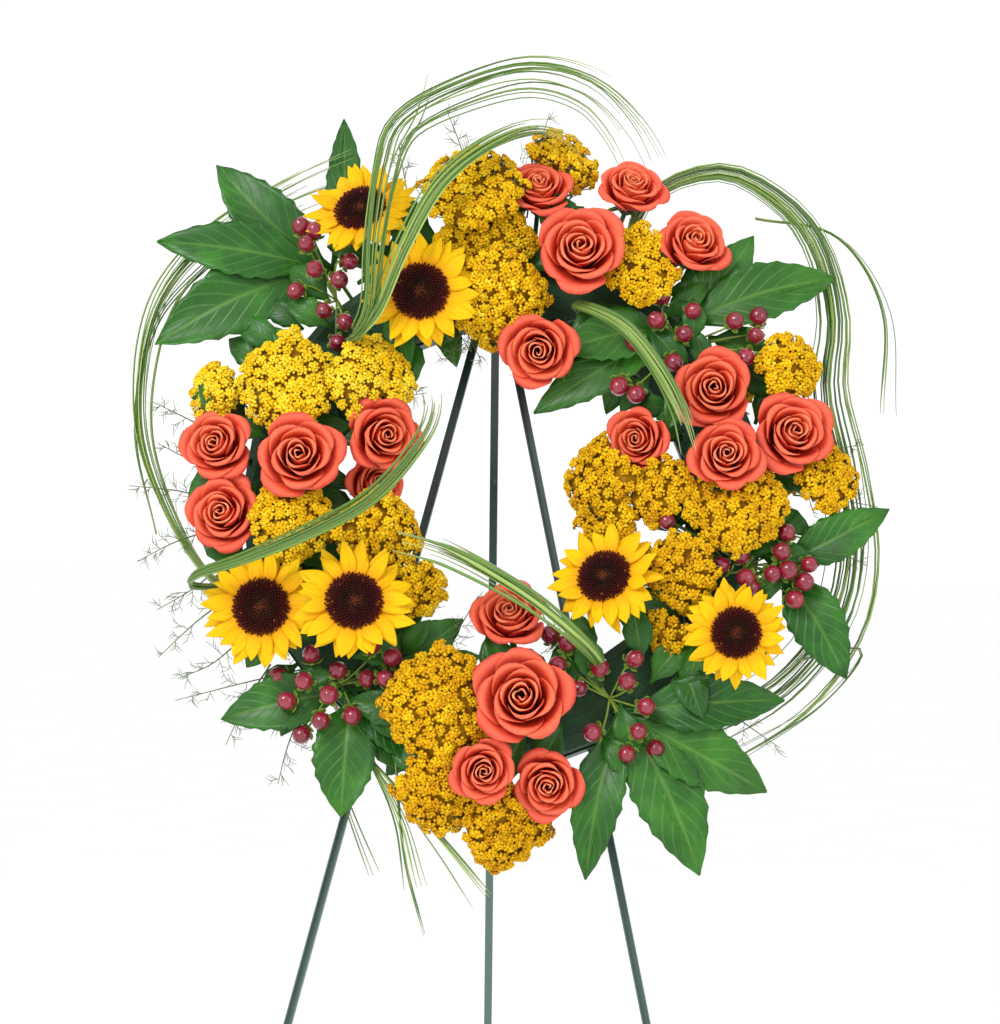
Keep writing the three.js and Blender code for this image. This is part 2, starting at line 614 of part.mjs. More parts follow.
// ---- materials ----
const finish = (color, roughness, metalness = 0) => new THREE.MeshStandardMaterial({ color, roughness, metalness });
const MATERIALS = {
  painted_steel: finish(0x2f4a45, 0.45, 0.3),
  tray_plastic: finish(0x1f3d2a, 0.5),
  floral_foam: finish(0x2c5a34, 0.95),
  rose: finish(0xf0603c, 0.6),
  sunflower: finish(0xf7b500, 0.6),
  yarrow: finish(0xd9a413, 0.8),
  berry: finish(0x8e1f3f, 0.25),
  leaf: finish(0x2f6b22, 0.4),
  grass: finish(0x7d9a5c, 0.5),
  fern: finish(0x5a6b45, 0.7),
};

// ---- assembly: a later piece gives way to every earlier one that it meets ----
const display = new THREE.Group();
display.applyMatrix4(lean);
const made = [];

function add(name, material, solid, swollen) {
  let free = solid;
  for (const other of made) if (other.swollen) free = free.subtract(other.swollen);
  const kept = largest(free);
  made.push({ name, swollen });
  const mesh = new THREE.Mesh(geometryOf(kept), MATERIALS[material]);
  mesh.name = name;
  display.add(mesh);
}

const numbered = (word, i) => `${word}_${String(i + 1).padStart(2, "0")}`;
const nearestFirst = (plans) => plans.map((plan, i) => ({ plan, i })).sort((a, b) => b.plan.height - a.plan.height);

add("wreath_hook", "painted_steel", wreathHook(), wreathHook(GAP));
for (const { plan, i } of nearestFirst(ROSES)) add(numbered("rose", i), "rose", rose(plan), rose(plan, GAP));
for (const { plan, i } of nearestFirst(SUNFLOWERS)) {
  add(numbered("sunflower", i), "sunflower", sunflower(plan), sunflower(plan, GAP));
}
for (const [name, plan] of Object.entries(GRASS)) add(name, "grass", grass(plan), grass(plan, GAP));
for (const [name, plan] of Object.entries(BERRY_SPRAYS)) add(name, "berry", berrySpray(plan), berrySpray(plan, GAP));
for (const [name, heads] of Object.entries(YARROW)) add(name, "yarrow", yarrow(heads), yarrow(heads, GAP));
for (const [name, plan] of Object.entries(LEAVES)) add(name, "leaf", leaf(plan), leaf(plan, GAP));
add("fern_sprig", "fern", fern(FERN), fern(FERN, GAP));

const foamHoles = [
  ...[...ROSES, ...SUNFLOWERS].map((plan) => [rootOf(plan), at(plan)]),
  ...[...Object.values(YARROW), ...Object.values(BERRY_SPRAYS)].map(([main]) => [rootOf(main), at(main)]),
  ...Object.values(LEAVES).map((plan) => [rootOf({ clock: plan.hub.clock, ...plan }), at(plan.hub)]),
].map(([root, head]) => stemHole(root, head));
const plain = { painted_steel: [["front_leg_left", frontLeg(-1)], ["front_leg_right", frontLeg(1)],
  ["rear_leg", rearLeg()], ["head_bracket", headBracket()], ["leg_rivet_left", legRivet(-1)],
  ["leg_rivet_right", legRivet(1)], ["hinge_pin", hingePin()]] };
for (const [name, solid] of plain.painted_steel) add(name, "painted_steel", solid);
add("ring_tray", "tray_plastic", ringTray());
add("foam_ring", "floral_foam", foamHoles.reduce((foam, hole) => foam.subtract(hole), foamRing()));

// The origin goes on the floor, below the middle of the whole piece.
const wreath = new THREE.Group();
wreath.add(display);
wreath.updateMatrixWorld(true);
const box = new THREE.Box3().setFromObject(wreath, true);
display.position.x -= (box.min.x + box.max.x) / 2;
display.position.y -= (box.min.y + box.max.y) / 2;

export default wreath;
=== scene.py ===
"""A funeral wreath hung on its easel: the visible pieces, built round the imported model."""

import math

import bpy
import numpy as np
from mathutils import Matrix, Vector


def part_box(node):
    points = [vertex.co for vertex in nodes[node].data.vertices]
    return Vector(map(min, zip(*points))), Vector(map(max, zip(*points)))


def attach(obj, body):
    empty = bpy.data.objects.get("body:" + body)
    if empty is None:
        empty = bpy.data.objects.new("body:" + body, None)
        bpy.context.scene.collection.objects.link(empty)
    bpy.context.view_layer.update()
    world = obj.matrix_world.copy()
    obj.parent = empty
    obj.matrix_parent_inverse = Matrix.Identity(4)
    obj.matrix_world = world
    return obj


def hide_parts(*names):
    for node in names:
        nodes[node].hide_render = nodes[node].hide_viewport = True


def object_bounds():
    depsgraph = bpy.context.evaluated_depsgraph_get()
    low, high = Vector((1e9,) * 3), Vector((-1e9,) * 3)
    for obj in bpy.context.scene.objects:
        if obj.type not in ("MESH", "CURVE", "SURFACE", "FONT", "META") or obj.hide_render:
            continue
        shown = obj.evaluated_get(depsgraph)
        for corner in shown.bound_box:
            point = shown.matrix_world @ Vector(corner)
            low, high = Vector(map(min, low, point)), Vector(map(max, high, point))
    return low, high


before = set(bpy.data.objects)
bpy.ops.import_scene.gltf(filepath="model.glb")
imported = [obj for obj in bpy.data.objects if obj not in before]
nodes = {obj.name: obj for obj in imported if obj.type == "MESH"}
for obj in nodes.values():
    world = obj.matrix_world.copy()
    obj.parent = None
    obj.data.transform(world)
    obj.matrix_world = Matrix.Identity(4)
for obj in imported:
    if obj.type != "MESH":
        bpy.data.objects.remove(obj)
cad_box = [list(corner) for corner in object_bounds()]

MM = 0.001
GOLDEN_ANGLE = math.pi * (3 - math.sqrt(5))

# The wreath's own frame, in millimetres: x to the right, y up the ring, z out of its face.
LEAN = math.radians(11.3)
TRAY_HEIGHT = 18
BASIS = np.array([
    [1, 0, 0],
    [0, math.sin(LEAN), math.cos(LEAN)],
    [0, -math.cos(LEAN), math.sin(LEAN)],
])
tray_low, tray_high = (np.array(corner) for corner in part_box("ring_tray"))
RING_BACK = (tray_low + tray_high) / 2 - BASIS[2] * TRAY_HEIGHT / 2 * MM


def to_ring(points):
    return (np.asarray(points) - RING_BACK) @ BASIS.T / MM


def to_world(points):
    return RING_BACK + (np.asarray(points) * MM) @ BASIS


def place(clock, radius, height):
    """A point of the wreath from its clock angle in degrees, its radius and its height."""
    angle = math.radians(clock)
    return np.array([radius * math.sin(angle), radius * math.cos(angle), height])


def unit(vector):
    vector = np.asarray(vector, float)
    return vector / np.maximum(np.linalg.norm(vector, axis=-1, keepdims=True), 1e-9)


def axes_about(axis, hint=(0, 0, 1)):
    """Three unit rows: two across the axis and the axis itself."""
    axis = unit(axis)
    if abs(np.dot(axis, unit(hint))) > 0.98:
        hint = (0, 1, 0)
    side = unit(np.cross(hint, axis))
    return np.array([side, np.cross(axis, side), axis])


# ---------------------------------------------------------------- camera, lights, stage

CAMERA_DISTANCE = 3.25
CAMERA_TURN = math.radians(2.65)
CAMERA_ROLL = math.radians(1.5)
CAMERA_DROP = 0.0212  # the camera stands this far below the middle of the wreath
CAMERA_LENS = 134.42
SENSOR_WIDTH = 36
FLOWER_HEIGHT = 90

aim = Vector(to_world([0, 0, FLOWER_HEIGHT]))
forward = Vector((-math.sin(CAMERA_TURN), math.cos(CAMERA_TURN), 0))
level = Vector((math.cos(CAMERA_TURN), math.sin(CAMERA_TURN), 0))
upright = Vector((0, 0, 1))
cam_up = upright * math.cos(CAMERA_ROLL) - level * math.sin(CAMERA_ROLL)
cam_right = level * math.cos(CAMERA_ROLL) + upright * math.sin(CAMERA_ROLL)
camera_data = bpy.data.cameras.new("camera")
camera_data.lens = CAMERA_LENS
camera_data.sensor_width = SENSOR_WIDTH
camera = bpy.data.objects.new("camera", camera_data)
bpy.context.scene.collection.objects.link(camera)
turn = Matrix((cam_right, cam_up, -forward)).transposed().to_4x4()
camera.matrix_world = Matrix.Translation(aim - forward * CAMERA_DISTANCE - cam_up * CAMERA_DROP) @ turn
bpy.context.scene.camera = camera
bpy.context.scene.view_settings.view_transform = "Standard"

world = bpy.data.worlds.new("studio")
world.use_nodes = True
world.node_tree.nodes["Background"].inputs["Color"].default_value = (1, 1, 1, 1)
world.node_tree.nodes["Background"].inputs["Strength"].default_value = 1.06
bpy.context.scene.world = world


def soft_light(name, location, width, power):
    data = bpy.data.lights.new(name, "AREA")
    data.size = width
    data.energy = power
    light = bpy.data.objects.new(name, data)
    light.location = location
    light.rotation_mode = "QUATERNION"
    light.rotation_quaternion = (aim - Vector(location)).to_track_quat("-Z", "Y")
    bpy.context.scene.collection.objects.link(light)


soft_light("key_light", (-1.5, -2.6, 2.9), 1.1, 62)
soft_light("fill_light", (2.4, -2.2, 1.6), 1.6, 16)
soft_light("rear_light", (0.8, 2.6, 2.8), 1.6, 26)

# ---------------------------------------------------------------- materials


def srgb(red, green, blue):
    """A linear colour from 0-255 screen values."""
    values = np.array([red, green, blue]) / 255
    linear = np.where(values <= 0.04045, values / 12.92, ((values + 0.055) / 1.055) ** 2.4)
    return (*linear.tolist(), 1)


class Paint:
    """A procedural material under construction. Its points carry a vector named form:
    along the piece from 0 to 1, across it from -1 to 1, and the piece's own shade from 0 to 1."""

    def __init__(self, name, finish):
        self.material = bpy.data.materials.new(name)
        self.material.use_nodes = True
        self.tree = self.material.node_tree
        self.shader = self.tree.nodes["Principled BSDF"]
        for socket, value in finish.items():
            self.shader.inputs[socket].default_value = value
        self.place = self.add("TexCoord").outputs["Object"]
        form = self.add("Attribute", attribute_name="form").outputs["Vector"]
        parts = self.add("SeparateXYZ", {0: form}).outputs
        self.along, self.across, self.shade = parts[0], parts[1], parts[2]

    def add(self, kind, inputs=None, **settings):
        node = self.tree.nodes.new("ShaderNode" + kind)
        for key, value in settings.items():
            setattr(node, key, value)
        for key, value in (inputs or {}).items():
            if isinstance(value, bpy.types.NodeSocket):
                self.tree.links.new(value, node.inputs[key])
            else:
                node.inputs[key].default_value = value
        return node

    def math(self, operation, first, second=0.0):
        return self.add("Math", {0: first, 1: second}, operation=operation).outputs[0]

    def noise(self, scale, vector=None, detail=3.0, roughness=0.55):
        inputs = {"Vector": vector or self.place, "Scale": scale, "Detail": detail, "Roughness": roughness}
        return self.add("TexNoise", inputs).outputs[0]

    def streaks(self, along, across, shade, detail=3.0):
        """Noise drawn out along the piece, different on each of its parts."""
        scaled = [self.math("MULTIPLY", part, scale)
                  for part, scale in ((self.along, along), (self.across, across), (self.shade, shade))]
        return self.noise(1.0, self.add("CombineXYZ", dict(enumerate(scaled))).outputs[0], detail)

    def varied(self, colour, share, factor, low, high):
        """The colour made darker and lighter by a noise, between two (position, value) stops."""
        return self.mix(share, colour, self.grey(factor, [low, high]), "MULTIPLY")

    def ramp(self, factor, stops):
        node = self.add("ValToRGB", {0: factor})
        elements = node.color_ramp.elements
        while len(elements) < len(stops):
            elements.new(0.5)
        for element, (position, colour) in zip(elements, stops):
            element.position = position
            element.color = colour
        return node.outputs[0]

    def grey(self, factor, stops):
        return self.ramp(factor, [(position, (value, value, value, 1)) for position, value in stops])

    def mix(self, factor, first, second, blend="MIX"):
        node = self.add("Mix", data_type="RGBA", blend_type=blend)
        for index, value in ((0, factor), (6, first), (7, second)):
            if isinstance(value, bpy.types.NodeSocket):
                self.tree.links.new(value, node.inputs[index])
            else:
                node.inputs[index].default_value = value
        return node.outputs[2]

    def done(self, colour, height=None, depth=0.0, strength=1.0, glow=None, share=0.0):
        """Links the colour, the bump and, for thin pieces, the light that shines through them."""
        self.tree.links.new(colour, self.shader.inputs["Base Color"])
        if height is not None:
            bump = self.add("Bump", {"Height": height, "Distance": depth, "Strength": strength})
            self.tree.links.new(bump.outputs[0], self.shader.inputs["Normal"])
        if glow is not None:
            through = self.add("BsdfTranslucent", {"Color": glow})
            both = self.add("MixShader", {0: share, 1: self.shader.outputs[0], 2: through.outputs[0]})
            output = self.tree.nodes["Material Output"]
            self.tree.links.new(both.outputs[0], output.inputs["Surface"])
        return self.material


def rose_material():
    p = Paint("rose_petal", {"Roughness": 0.6, "Specular IOR Level": 0.22})
    inner = p.ramp(p.along, [(0.0, srgb(184, 30, 12)), (0.5, srgb(240, 92, 48)),
                             (0.82, srgb(250, 138, 88)), (1.0, srgb(254, 178, 134))])
    outer = p.ramp(p.along, [(0.0, srgb(190, 26, 26)), (0.45, srgb(240, 82, 58)),
                             (0.85, srgb(248, 112, 84)), (1.0, srgb(238, 70, 68))])
    colour = p.mix(p.shade, inner, outer)
    veins = p.streaks(2.0, 16.0, 60.0)
    colour = p.varied(colour, 0.4, veins, (0.3, 0.85), (0.7, 1.15))
    colour = p.varied(colour, 0.4, p.noise(38.0), (0.3, 0.82), (0.7, 1.15))
    return p.done(colour, veins, 0.0006, 0.5, colour, 0.28)


def sunflower_material():
    p = Paint("sunflower_ray", {"Roughness": 0.6, "Specular IOR Level": 0.2})
    colour = p.ramp(p.along, [(0.0, srgb(220, 128, 0)), (0.2, srgb(250, 182, 0)),
                              (0.5, srgb(255, 206, 0)), (1.0, srgb(255, 216, 10))])
    grooves = p.streaks(1.5, 7.0, 90.0, 2.0)
    colour = p.varied(colour, 0.55, grooves, (0.3, 0.74), (0.62, 1.1))
    colour = p.mix(p.math("MULTIPLY", p.shade, 0.3), colour, srgb(246, 172, 0))
    return p.done(colour, grooves, 0.0009, 0.7, colour, 0.25)


def disc_material():
    p = Paint("sunflower_disc", {"Roughness": 0.85, "Specular IOR Level": 0.15})
    colour = p.ramp(p.along, [(0.0, srgb(24, 14, 10)), (0.3, srgb(16, 8, 8)), (0.55, srgb(46, 14, 14)),
                              (0.85, srgb(72, 20, 16)), (1.0, srgb(88, 38, 12))])
    colour = p.varied(colour, 0.6, p.noise(420.0), (0.3, 0.5), (0.7, 1.4))
    colour = p.mix(p.grey(p.shade, [(0.94, 0.0), (1.0, 0.5)]), colour, srgb(170, 96, 20))
    return p.done(colour, p.noise(700.0), 0.0005, 0.6)


def green_material(name, dark, light):
    """Stems, sepals, stalks and needles."""
    p = Paint(name, {"Roughness": 0.55})
    streaks = p.math("MULTIPLY", p.streaks(3.0, 9.0, 40.0), 0.6)
    colour = p.ramp(p.math("ADD", streaks, p.math("MULTIPLY", p.shade, 0.4)), [(0.25, dark), (0.75, light)])
    return p.done(colour, p.noise(500.0), 0.0003, 0.4)


def yarrow_material():
    p = Paint("yarrow_floret", {"Roughness": 0.8, "Specular IOR Level": 0.15})
    bright = p.ramp(p.shade, [(0.0, srgb(196, 138, 6)), (0.4, srgb(226, 174, 8)), (0.75, srgb(240, 198, 18)),
                              (1.0, srgb(248, 216, 50))])
    # painted shade: each floret turns dark brown towards its foot, which stands in for the shade in the gaps
    # between the florets
    colour = p.mix(p.grey(p.along, [(0.0, 0.85), (0.55, 0.3), (1.0, 0.0)]), bright, srgb(120, 74, 8))
    colour = p.varied(colour, 0.5, p.noise(34.0, detail=2.0), (0.35, 0.8), (0.65, 1.1))
    return p.done(colour, p.noise(1500.0), 0.0004, 0.8)


def berry_material():
    p = Paint("berry_skin", {"Roughness": 0.24, "Coat Weight": 0.5, "Coat Roughness": 0.12})
    colour = p.ramp(p.along, [(0.0, srgb(148, 66, 60)), (0.25, srgb(132, 14, 40)), (0.8, srgb(112, 8, 34)),
                              (0.95, srgb(92, 8, 26)), (1.0, srgb(40, 12, 12))])
    colour = p.mix(p.math("MULTIPLY", p.shade, 0.5), colour, srgb(168, 40, 64))
    colour = p.varied(colour, 0.5, p.noise(140.0), (0.35, 0.75), (0.65, 1.15))
    return p.done(colour, p.noise(900.0), 0.0002, 0.25)


def leaf_material():
    """Glossy leaves: a pale midrib, side veins that run forward, and cloudy green between them."""
    p = Paint("leaf_blade", {"Roughness": 0.38, "Specular IOR Level": 0.35, "Coat Weight": 0.08,
                             "Coat Roughness": 0.25})
    spread = p.math("ABSOLUTE", p.across)
    midrib = p.grey(spread, [(0.0, 1.0), (0.07, 0.25), (0.12, 0.0)])
    forward = p.math("SUBTRACT", p.math("MULTIPLY", p.along, 9.0), p.math("MULTIPLY", spread, 2.6))
    saw = p.math("ABSOLUTE", p.math("SUBTRACT", p.math("FRACT", forward), 0.5))
    side_veins = p.grey(saw, [(0.0, 0.55), (0.06, 0.3), (0.13, 0.0)])
    veins = p.mix(1.0, midrib, side_veins, "LIGHTEN")
    body = p.ramp(p.noise(26.0), [(0.25, srgb(14, 62, 14)), (0.5, srgb(30, 92, 22)),
                                  (0.75, srgb(58, 128, 32))])
    body = p.mix(p.shade, body, srgb(78, 142, 34))
    fine = p.noise(260.0, detail=4.0)
    body = p.varied(body, 0.5, fine, (0.3, 0.8), (0.7, 1.12))
    colour = p.mix(p.math("MULTIPLY", veins, 0.36), body, srgb(126, 172, 74))
    height = p.math("SUBTRACT", p.math("MULTIPLY", fine, 0.25), veins)
    return p.done(colour, height, 0.0007, 0.7, srgb(70, 130, 30), 0.16)


def grass_material():
    p = Paint("bear_grass_blade", {"Roughness": 0.42})
    streaks = p.streaks(14.0, 3.0, 70.0)
    base = p.ramp(p.shade, [(0.0, srgb(70, 108, 40)), (0.5, srgb(112, 150, 66)), (1.0, srgb(168, 194, 104))])
    colour = p.varied(base, 0.6, streaks, (0.3, 0.74), (0.7, 1.18))
    pale_ends = p.grey(p.along, [(0.0, 0.55), (0.2, 0.0), (0.85, 0.0), (1.0, 0.4)])
    colour = p.mix(pale_ends, colour, srgb(206, 206, 160))
    return p.done(colour, streaks, 0.0004, 0.5, colour, 0.15)


def steel_material():
    """Painted steel: thin green enamel, a little uneven, with painted shade that darkens it towards the top
    and painted highlights in streaks along it.
    """
    p = Paint("enamelled_steel", {"Roughness": 0.38, "Coat Weight": 0.35, "Coat Roughness": 0.2})
    height = p.add("SeparateXYZ", {0: p.place}).outputs[2]
    # painted shade: the enamel is lighter low down and darkens towards the top of the easel
    body = p.ramp(p.math("DIVIDE", height, 1.3), [(0.0, srgb(82, 112, 100)), (0.62, srgb(66, 96, 86)),
                                                  (0.95, srgb(34, 52, 48))])
    cloud = p.noise(18.0, detail=5.0)
    body = p.varied(body, 0.6, cloud, (0.3, 0.78), (0.7, 1.15))
    stretched = p.add("Mapping", {"Vector": p.place, "Scale": (260.0, 260.0, 30.0)}).outputs[0]
    # painted highlight: pale streaks along the legs, which stand in for the glints on their edges
    painted_glints = p.grey(p.noise(1.0, stretched, 4.0), [(0.68, 0.0), (0.76, 0.5)])
    colour = p.mix(painted_glints, body, srgb(138, 160, 150))
    return p.done(colour, p.noise(320.0), 0.0003, 0.5)


def foam_material():
    p = Paint("floral_foam_block", {"Roughness": 0.95})
    pores = p.noise(900.0, detail=5.0)
    colour = p.ramp(pores, [(0.3, srgb(20, 44, 28)), (0.7, srgb(52, 88, 54))])
    return p.done(colour, pores, 0.001, 1.0)


def tray_material():
    p = Paint("tray_moulding", {"Roughness": 0.5})
    colour = p.ramp(p.noise(60.0), [(0.3, srgb(18, 44, 30)), (0.7, srgb(30, 62, 42))])
    return p.done(colour, p.noise(700.0), 0.0003, 0.4)


def floor_material():
    p = Paint("floor_paint", {"Roughness": 0.9})
    colour = p.ramp(p.noise(3.0), [(0.4, (0.93, 0.93, 0.93, 1)), (0.6, (0.95, 0.95, 0.95, 1))])
    return p.done(colour)


ROSE, RAY, DISC = rose_material(), sunflower_material(), disc_material()
YARROW, BERRY, LEAF, GRASS = yarrow_material(), berry_material(), leaf_material(), grass_material()
CALYX = green_material("flower_calyx", srgb(34, 74, 28), srgb(92, 134, 58))
STALK = green_material("yarrow_stalk", srgb(52, 72, 34), srgb(126, 142, 84))
FERN = green_material("fern_needle", srgb(60, 84, 50), srgb(136, 154, 104))
SEPAL = green_material("berry_sepal", srgb(84, 122, 30), srgb(150, 176, 66))

# ---------------------------------------------------------------- mesh building


class Sheaf:
    """Gathers thin sheets, tubes and copies, in the wreath's millimetres, and makes one mesh of them."""

    def __init__(self):
        self.points, self.faces, self.forms, self.paints, self.count = [], [], [], [], 0

    def add(self, points, faces, form, paint=0):
        """points and form are (n, 3); faces is a list of index arrays with 3 or 4 columns."""
        points = np.asarray(points, float).reshape(-1, 3)
        self.points.append(points)
        self.forms.append(np.broadcast_to(form, points.shape))
        for block in faces:
            self.faces.append(np.asarray(block) + self.count)
            self.paints.append(np.full(len(block), paint))
        self.count += len(points)

    def sheet(self, grid, thickness, form, paint=0):
        """A closed thin sheet round a grid of points (rows, columns, 3)."""
        rows, columns = grid.shape[:2]
        normal = unit(np.cross(np.gradient(grid, axis=0), np.gradient(grid, axis=1)))
        number = np.arange(rows * columns).reshape(rows, columns)
        a, b, c, d = number[:-1, :-1], number[1:, :-1], number[1:, 1:], number[:-1, 1:]
        front = np.stack([a, b, c, d], -1).reshape(-1, 4)
        under = front[:, ::-1] + rows * columns
        loop = np.concatenate([number[:, 0], number[-1, 1:], number[-2::-1, -1], number[0, -2:0:-1]])
        after = np.roll(loop, -1)
        rim = np.stack([after, loop, loop + rows * columns, after + rows * columns], -1)
        points = np.concatenate([(grid + normal * thickness / 2).reshape(-1, 3),
                                 (grid - normal * thickness / 2).reshape(-1, 3)])
        form = np.broadcast_to(form, grid.shape).reshape(-1, 3)
        self.add(points, [front, under, rim], np.concatenate([form, form]), paint)

    def tube(self, path, radii, sides=5, shade=0.5, paint=0):
        """A closed round rod along a path, with a point at each end."""
        path = np.asarray(path, float)
        radii = np.broadcast_to(radii, len(path))
        tangent = unit(np.gradient(path, axis=0))
        side = axes_about(tangent[0])[0]
        rings = []
        for centre, ahead, radius in zip(path, tangent, radii):
            side = unit(side - ahead * np.dot(side, ahead))
            other = np.cross(ahead, side)
            turn = np.arange(sides) * 2 * math.pi / sides
            rings.append(centre + radius * (np.outer(np.cos(turn), side) + np.outer(np.sin(turn), other)))
        count = len(path)
        points = np.concatenate([np.concatenate(rings), path[:1], path[-1:]])
        number = np.arange(count * sides).reshape(count, sides)
        beside = np.roll(number, -1, axis=1)
        wall = np.stack([number[:-1], beside[:-1], beside[1:], number[1:]], -1).reshape(-1, 4)
        first = np.stack([beside[0], number[0], np.full(sides, count * sides)], -1)
        last = np.stack([number[-1], beside[-1], np.full(sides, count * sides + 1)], -1)
        along = np.append(np.repeat(np.linspace(0, 1, count), sides), [0, 1])
        across = np.append(np.tile(np.linspace(-1, 1, sides), count), [0, 0])
        form = np.stack([along, across, np.full(len(along), shade)], -1)
        self.add(points, [wall, first, last], form, paint)

    def copies(self, base, faces, base_form, centres, frames, sizes, shades, paint=0):
        """Many copies of a small shape, each with its own frame rows, size and shade."""
        points = centres[:, None] + np.einsum("kj,nji->nki", base, frames) * sizes[:, None, None]
        form = np.broadcast_to(base_form, points.shape).copy()
        form[:, :, 2] = shades[:, None]
        shift = np.arange(len(centres)) * len(base)
        moved = [(block + shift[:, None, None]).reshape(-1, block.shape[1]) for block in faces]
        self.add(points.reshape(-1, 3), moved, form.reshape(-1, 3), paint)

    def piece(self, name, materials, body="head", stands_for=()):
        """Makes the mesh object, puts it in the world's metres and lets it ride on a body."""
        points, forms = np.concatenate(self.points), np.concatenate(self.forms)
        sizes = np.concatenate([np.full(len(f), f.shape[1]) for f in self.faces])
        corners = np.concatenate([f.ravel() for f in self.faces])
        mesh = bpy.data.meshes.new(name)
        mesh.vertices.add(len(points))
        mesh.vertices.foreach_set("co", to_world(points).astype(np.float32).ravel())
        mesh.loops.add(len(corners))
        mesh.loops.foreach_set("vertex_index", corners.astype(np.int32))
        mesh.polygons.add(len(sizes))
        mesh.polygons.foreach_set("loop_start", np.concatenate([[0], np.cumsum(sizes)[:-1]]).astype(np.int32))
        mesh.polygons.foreach_set("material_index", np.concatenate(self.paints).astype(np.int32))
        mesh.polygons.foreach_set("use_smooth", np.ones(len(sizes), bool))
        mesh.update(calc_edges=True)
        form = mesh.attributes.new("form", "FLOAT_VECTOR", "POINT")
        form.data.foreach_set("vector", forms.astype(np.float32).ravel())
        for material in materials:
            mesh.materials.append(material)
        made = bpy.data.objects.new(name, mesh)
        bpy.context.scene.collection.objects.link(made)
        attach(made, body)
        if stands_for:
            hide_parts(*stands_for)
        return made


def form_of(along, across, shape, shade):
    """The form vector at every point of a grid of that shape."""
    return np.stack([np.broadcast_to(part, shape) for part in (along, across, shade)], -1)


def rayed(rho, side, height, turn):
    """A grid that points outward at an angle: distance out, distance sideways and height."""
    x = rho * math.cos(turn) - side * math.sin(turn)
    y = rho * math.sin(turn) + side * math.cos(turn)
    return np.stack([x, y, np.broadcast_to(height, x.shape)], -1)


def along_and_across(rows, columns):
    """A column from 0 to 1 and a row from -1 to 1, which make a sheet's grid together."""
    return np.linspace(0, 1, rows)[:, None], np.linspace(-1, 1, columns)[None, :]


def bezier(points, steps):
    """Points along a cubic Bezier curve, from its four control points."""
    t = np.linspace(0, 1, steps)[:, None]
    p = np.asarray(points, float)
    return (1 - t) ** 3 * p[0] + 3 * (1 - t) ** 2 * t * p[1] + 3 * (1 - t) * t ** 2 * p[2] + t ** 3 * p[3]


def smooth_path(points, steps):
    """A Catmull-Rom curve through the points, evenly spaced along its length."""
    p = np.asarray(points, float)
    p = np.concatenate([[2 * p[0] - p[1]], p, [2 * p[-1] - p[-2]]])
    found = []
    t = np.linspace(0, 1, 16, endpoint=False)[:, None]
    for a, b, c, d in zip(p[:-3], p[1:-2], p[2:-1], p[3:]):
        square, cube = 2 * a - 5 * b + 4 * c - d, 3 * b - a - 3 * c + d
        found.append(0.5 * (2 * b + (c - a) * t + square * t ** 2 + cube * t ** 3))
    found = np.concatenate(found + [p[-2:-1]])
    length = np.append(0, np.cumsum(np.linalg.norm(np.diff(found, axis=0), axis=1)))
    wanted = np.linspace(0, length[-1], steps)
    return np.stack([np.interp(wanted, length, found[:, i]) for i in range(3)], -1)


# ---------------------------------------------------------------- what the CAD nodes say


def cad_points(name):
    """A node's distinct vertices in the wreath's frame, and its triangles by their numbers."""
    mesh = nodes[name].data
    co = np.empty(len(mesh.vertices) * 3, np.float32)
    mesh.vertices.foreach_get("co", co)
    points = to_ring(co.reshape(-1, 3).astype(float))
    kept, number = np.unique(np.round(points, 2), axis=0, return_inverse=True)
    mesh.calc_loop_triangles()
    triangles = np.empty(len(mesh.loop_triangles) * 3, np.int32)
    mesh.loop_triangles.foreach_get("vertices", triangles)
    return kept, number.ravel()[triangles].reshape(-1, 3)


STEM_RADIUS = 2.2
ROOT_HEIGHT = 26
NECK_TURN = 0.8
# Each bloom as the CAD has it: its clock, radius, height and diameter, and the radius and clock of its root.
ROSES = [
    (5, 270, 76, 66, 208, 5), (21, 292, 72, 66, 212, 21), (17, 214, 116, 84, 203, 17),
    (36, 272, 84, 70, 212, 36), (14, 123, 94, 72, 172, 14), (64, 200, 102, 76, 206, 64),
    (69, 124, 92, 62, 172, 69), (82, 193, 122, 68, 188, 82), (78, 253, 96, 78, 216, 78),
    (174, 109, 84, 72, 172, 174), (172, 186, 118, 90, 186, 172), (181, 245, 106, 60, 208, 184),
    (169, 257, 86, 66, 212, 166), (277, 245, 96, 68, 216, 277), (276, 171, 116, 80, 182, 276),
    (263, 237, 92, 72, 214, 263), (293, 108, 94, 72, 172, 293), (273, 107, 66, 58, 170, 273),
]
SUNFLOWERS = [
    (332, 274, 84, 98, 214, 332), (336, 179, 112, 104, 188, 336), (241, 226, 92, 104, 210, 241),
    (228, 159, 112, 104, 176, 228), (130, 120, 96, 98, 170, 130), (121, 236, 98, 92, 210, 121),
]


def bloom_of(plan):
    """A bloom's root, axis rows, middle and radius: its neck bends from the stem's line towards the front."""
    clock, radius, height, diameter, root_radius, root_clock = plan
    root = place(root_clock, root_radius, ROOT_HEIGHT)
    middle = place(clock, radius, height)
    axis = unit(middle - root) + NECK_TURN * np.array([0, 0, 1])
    return root, axes_about(axis, (0, 1, 0)), middle, diameter / 2


# ---------------------------------------------------------------- roses

PETAL_COUNT = 21
PETAL_ROWS, PETAL_COLUMNS = 11, 11
GREEN_PART = 1  # the material of a piece's stems, stalks and sepals


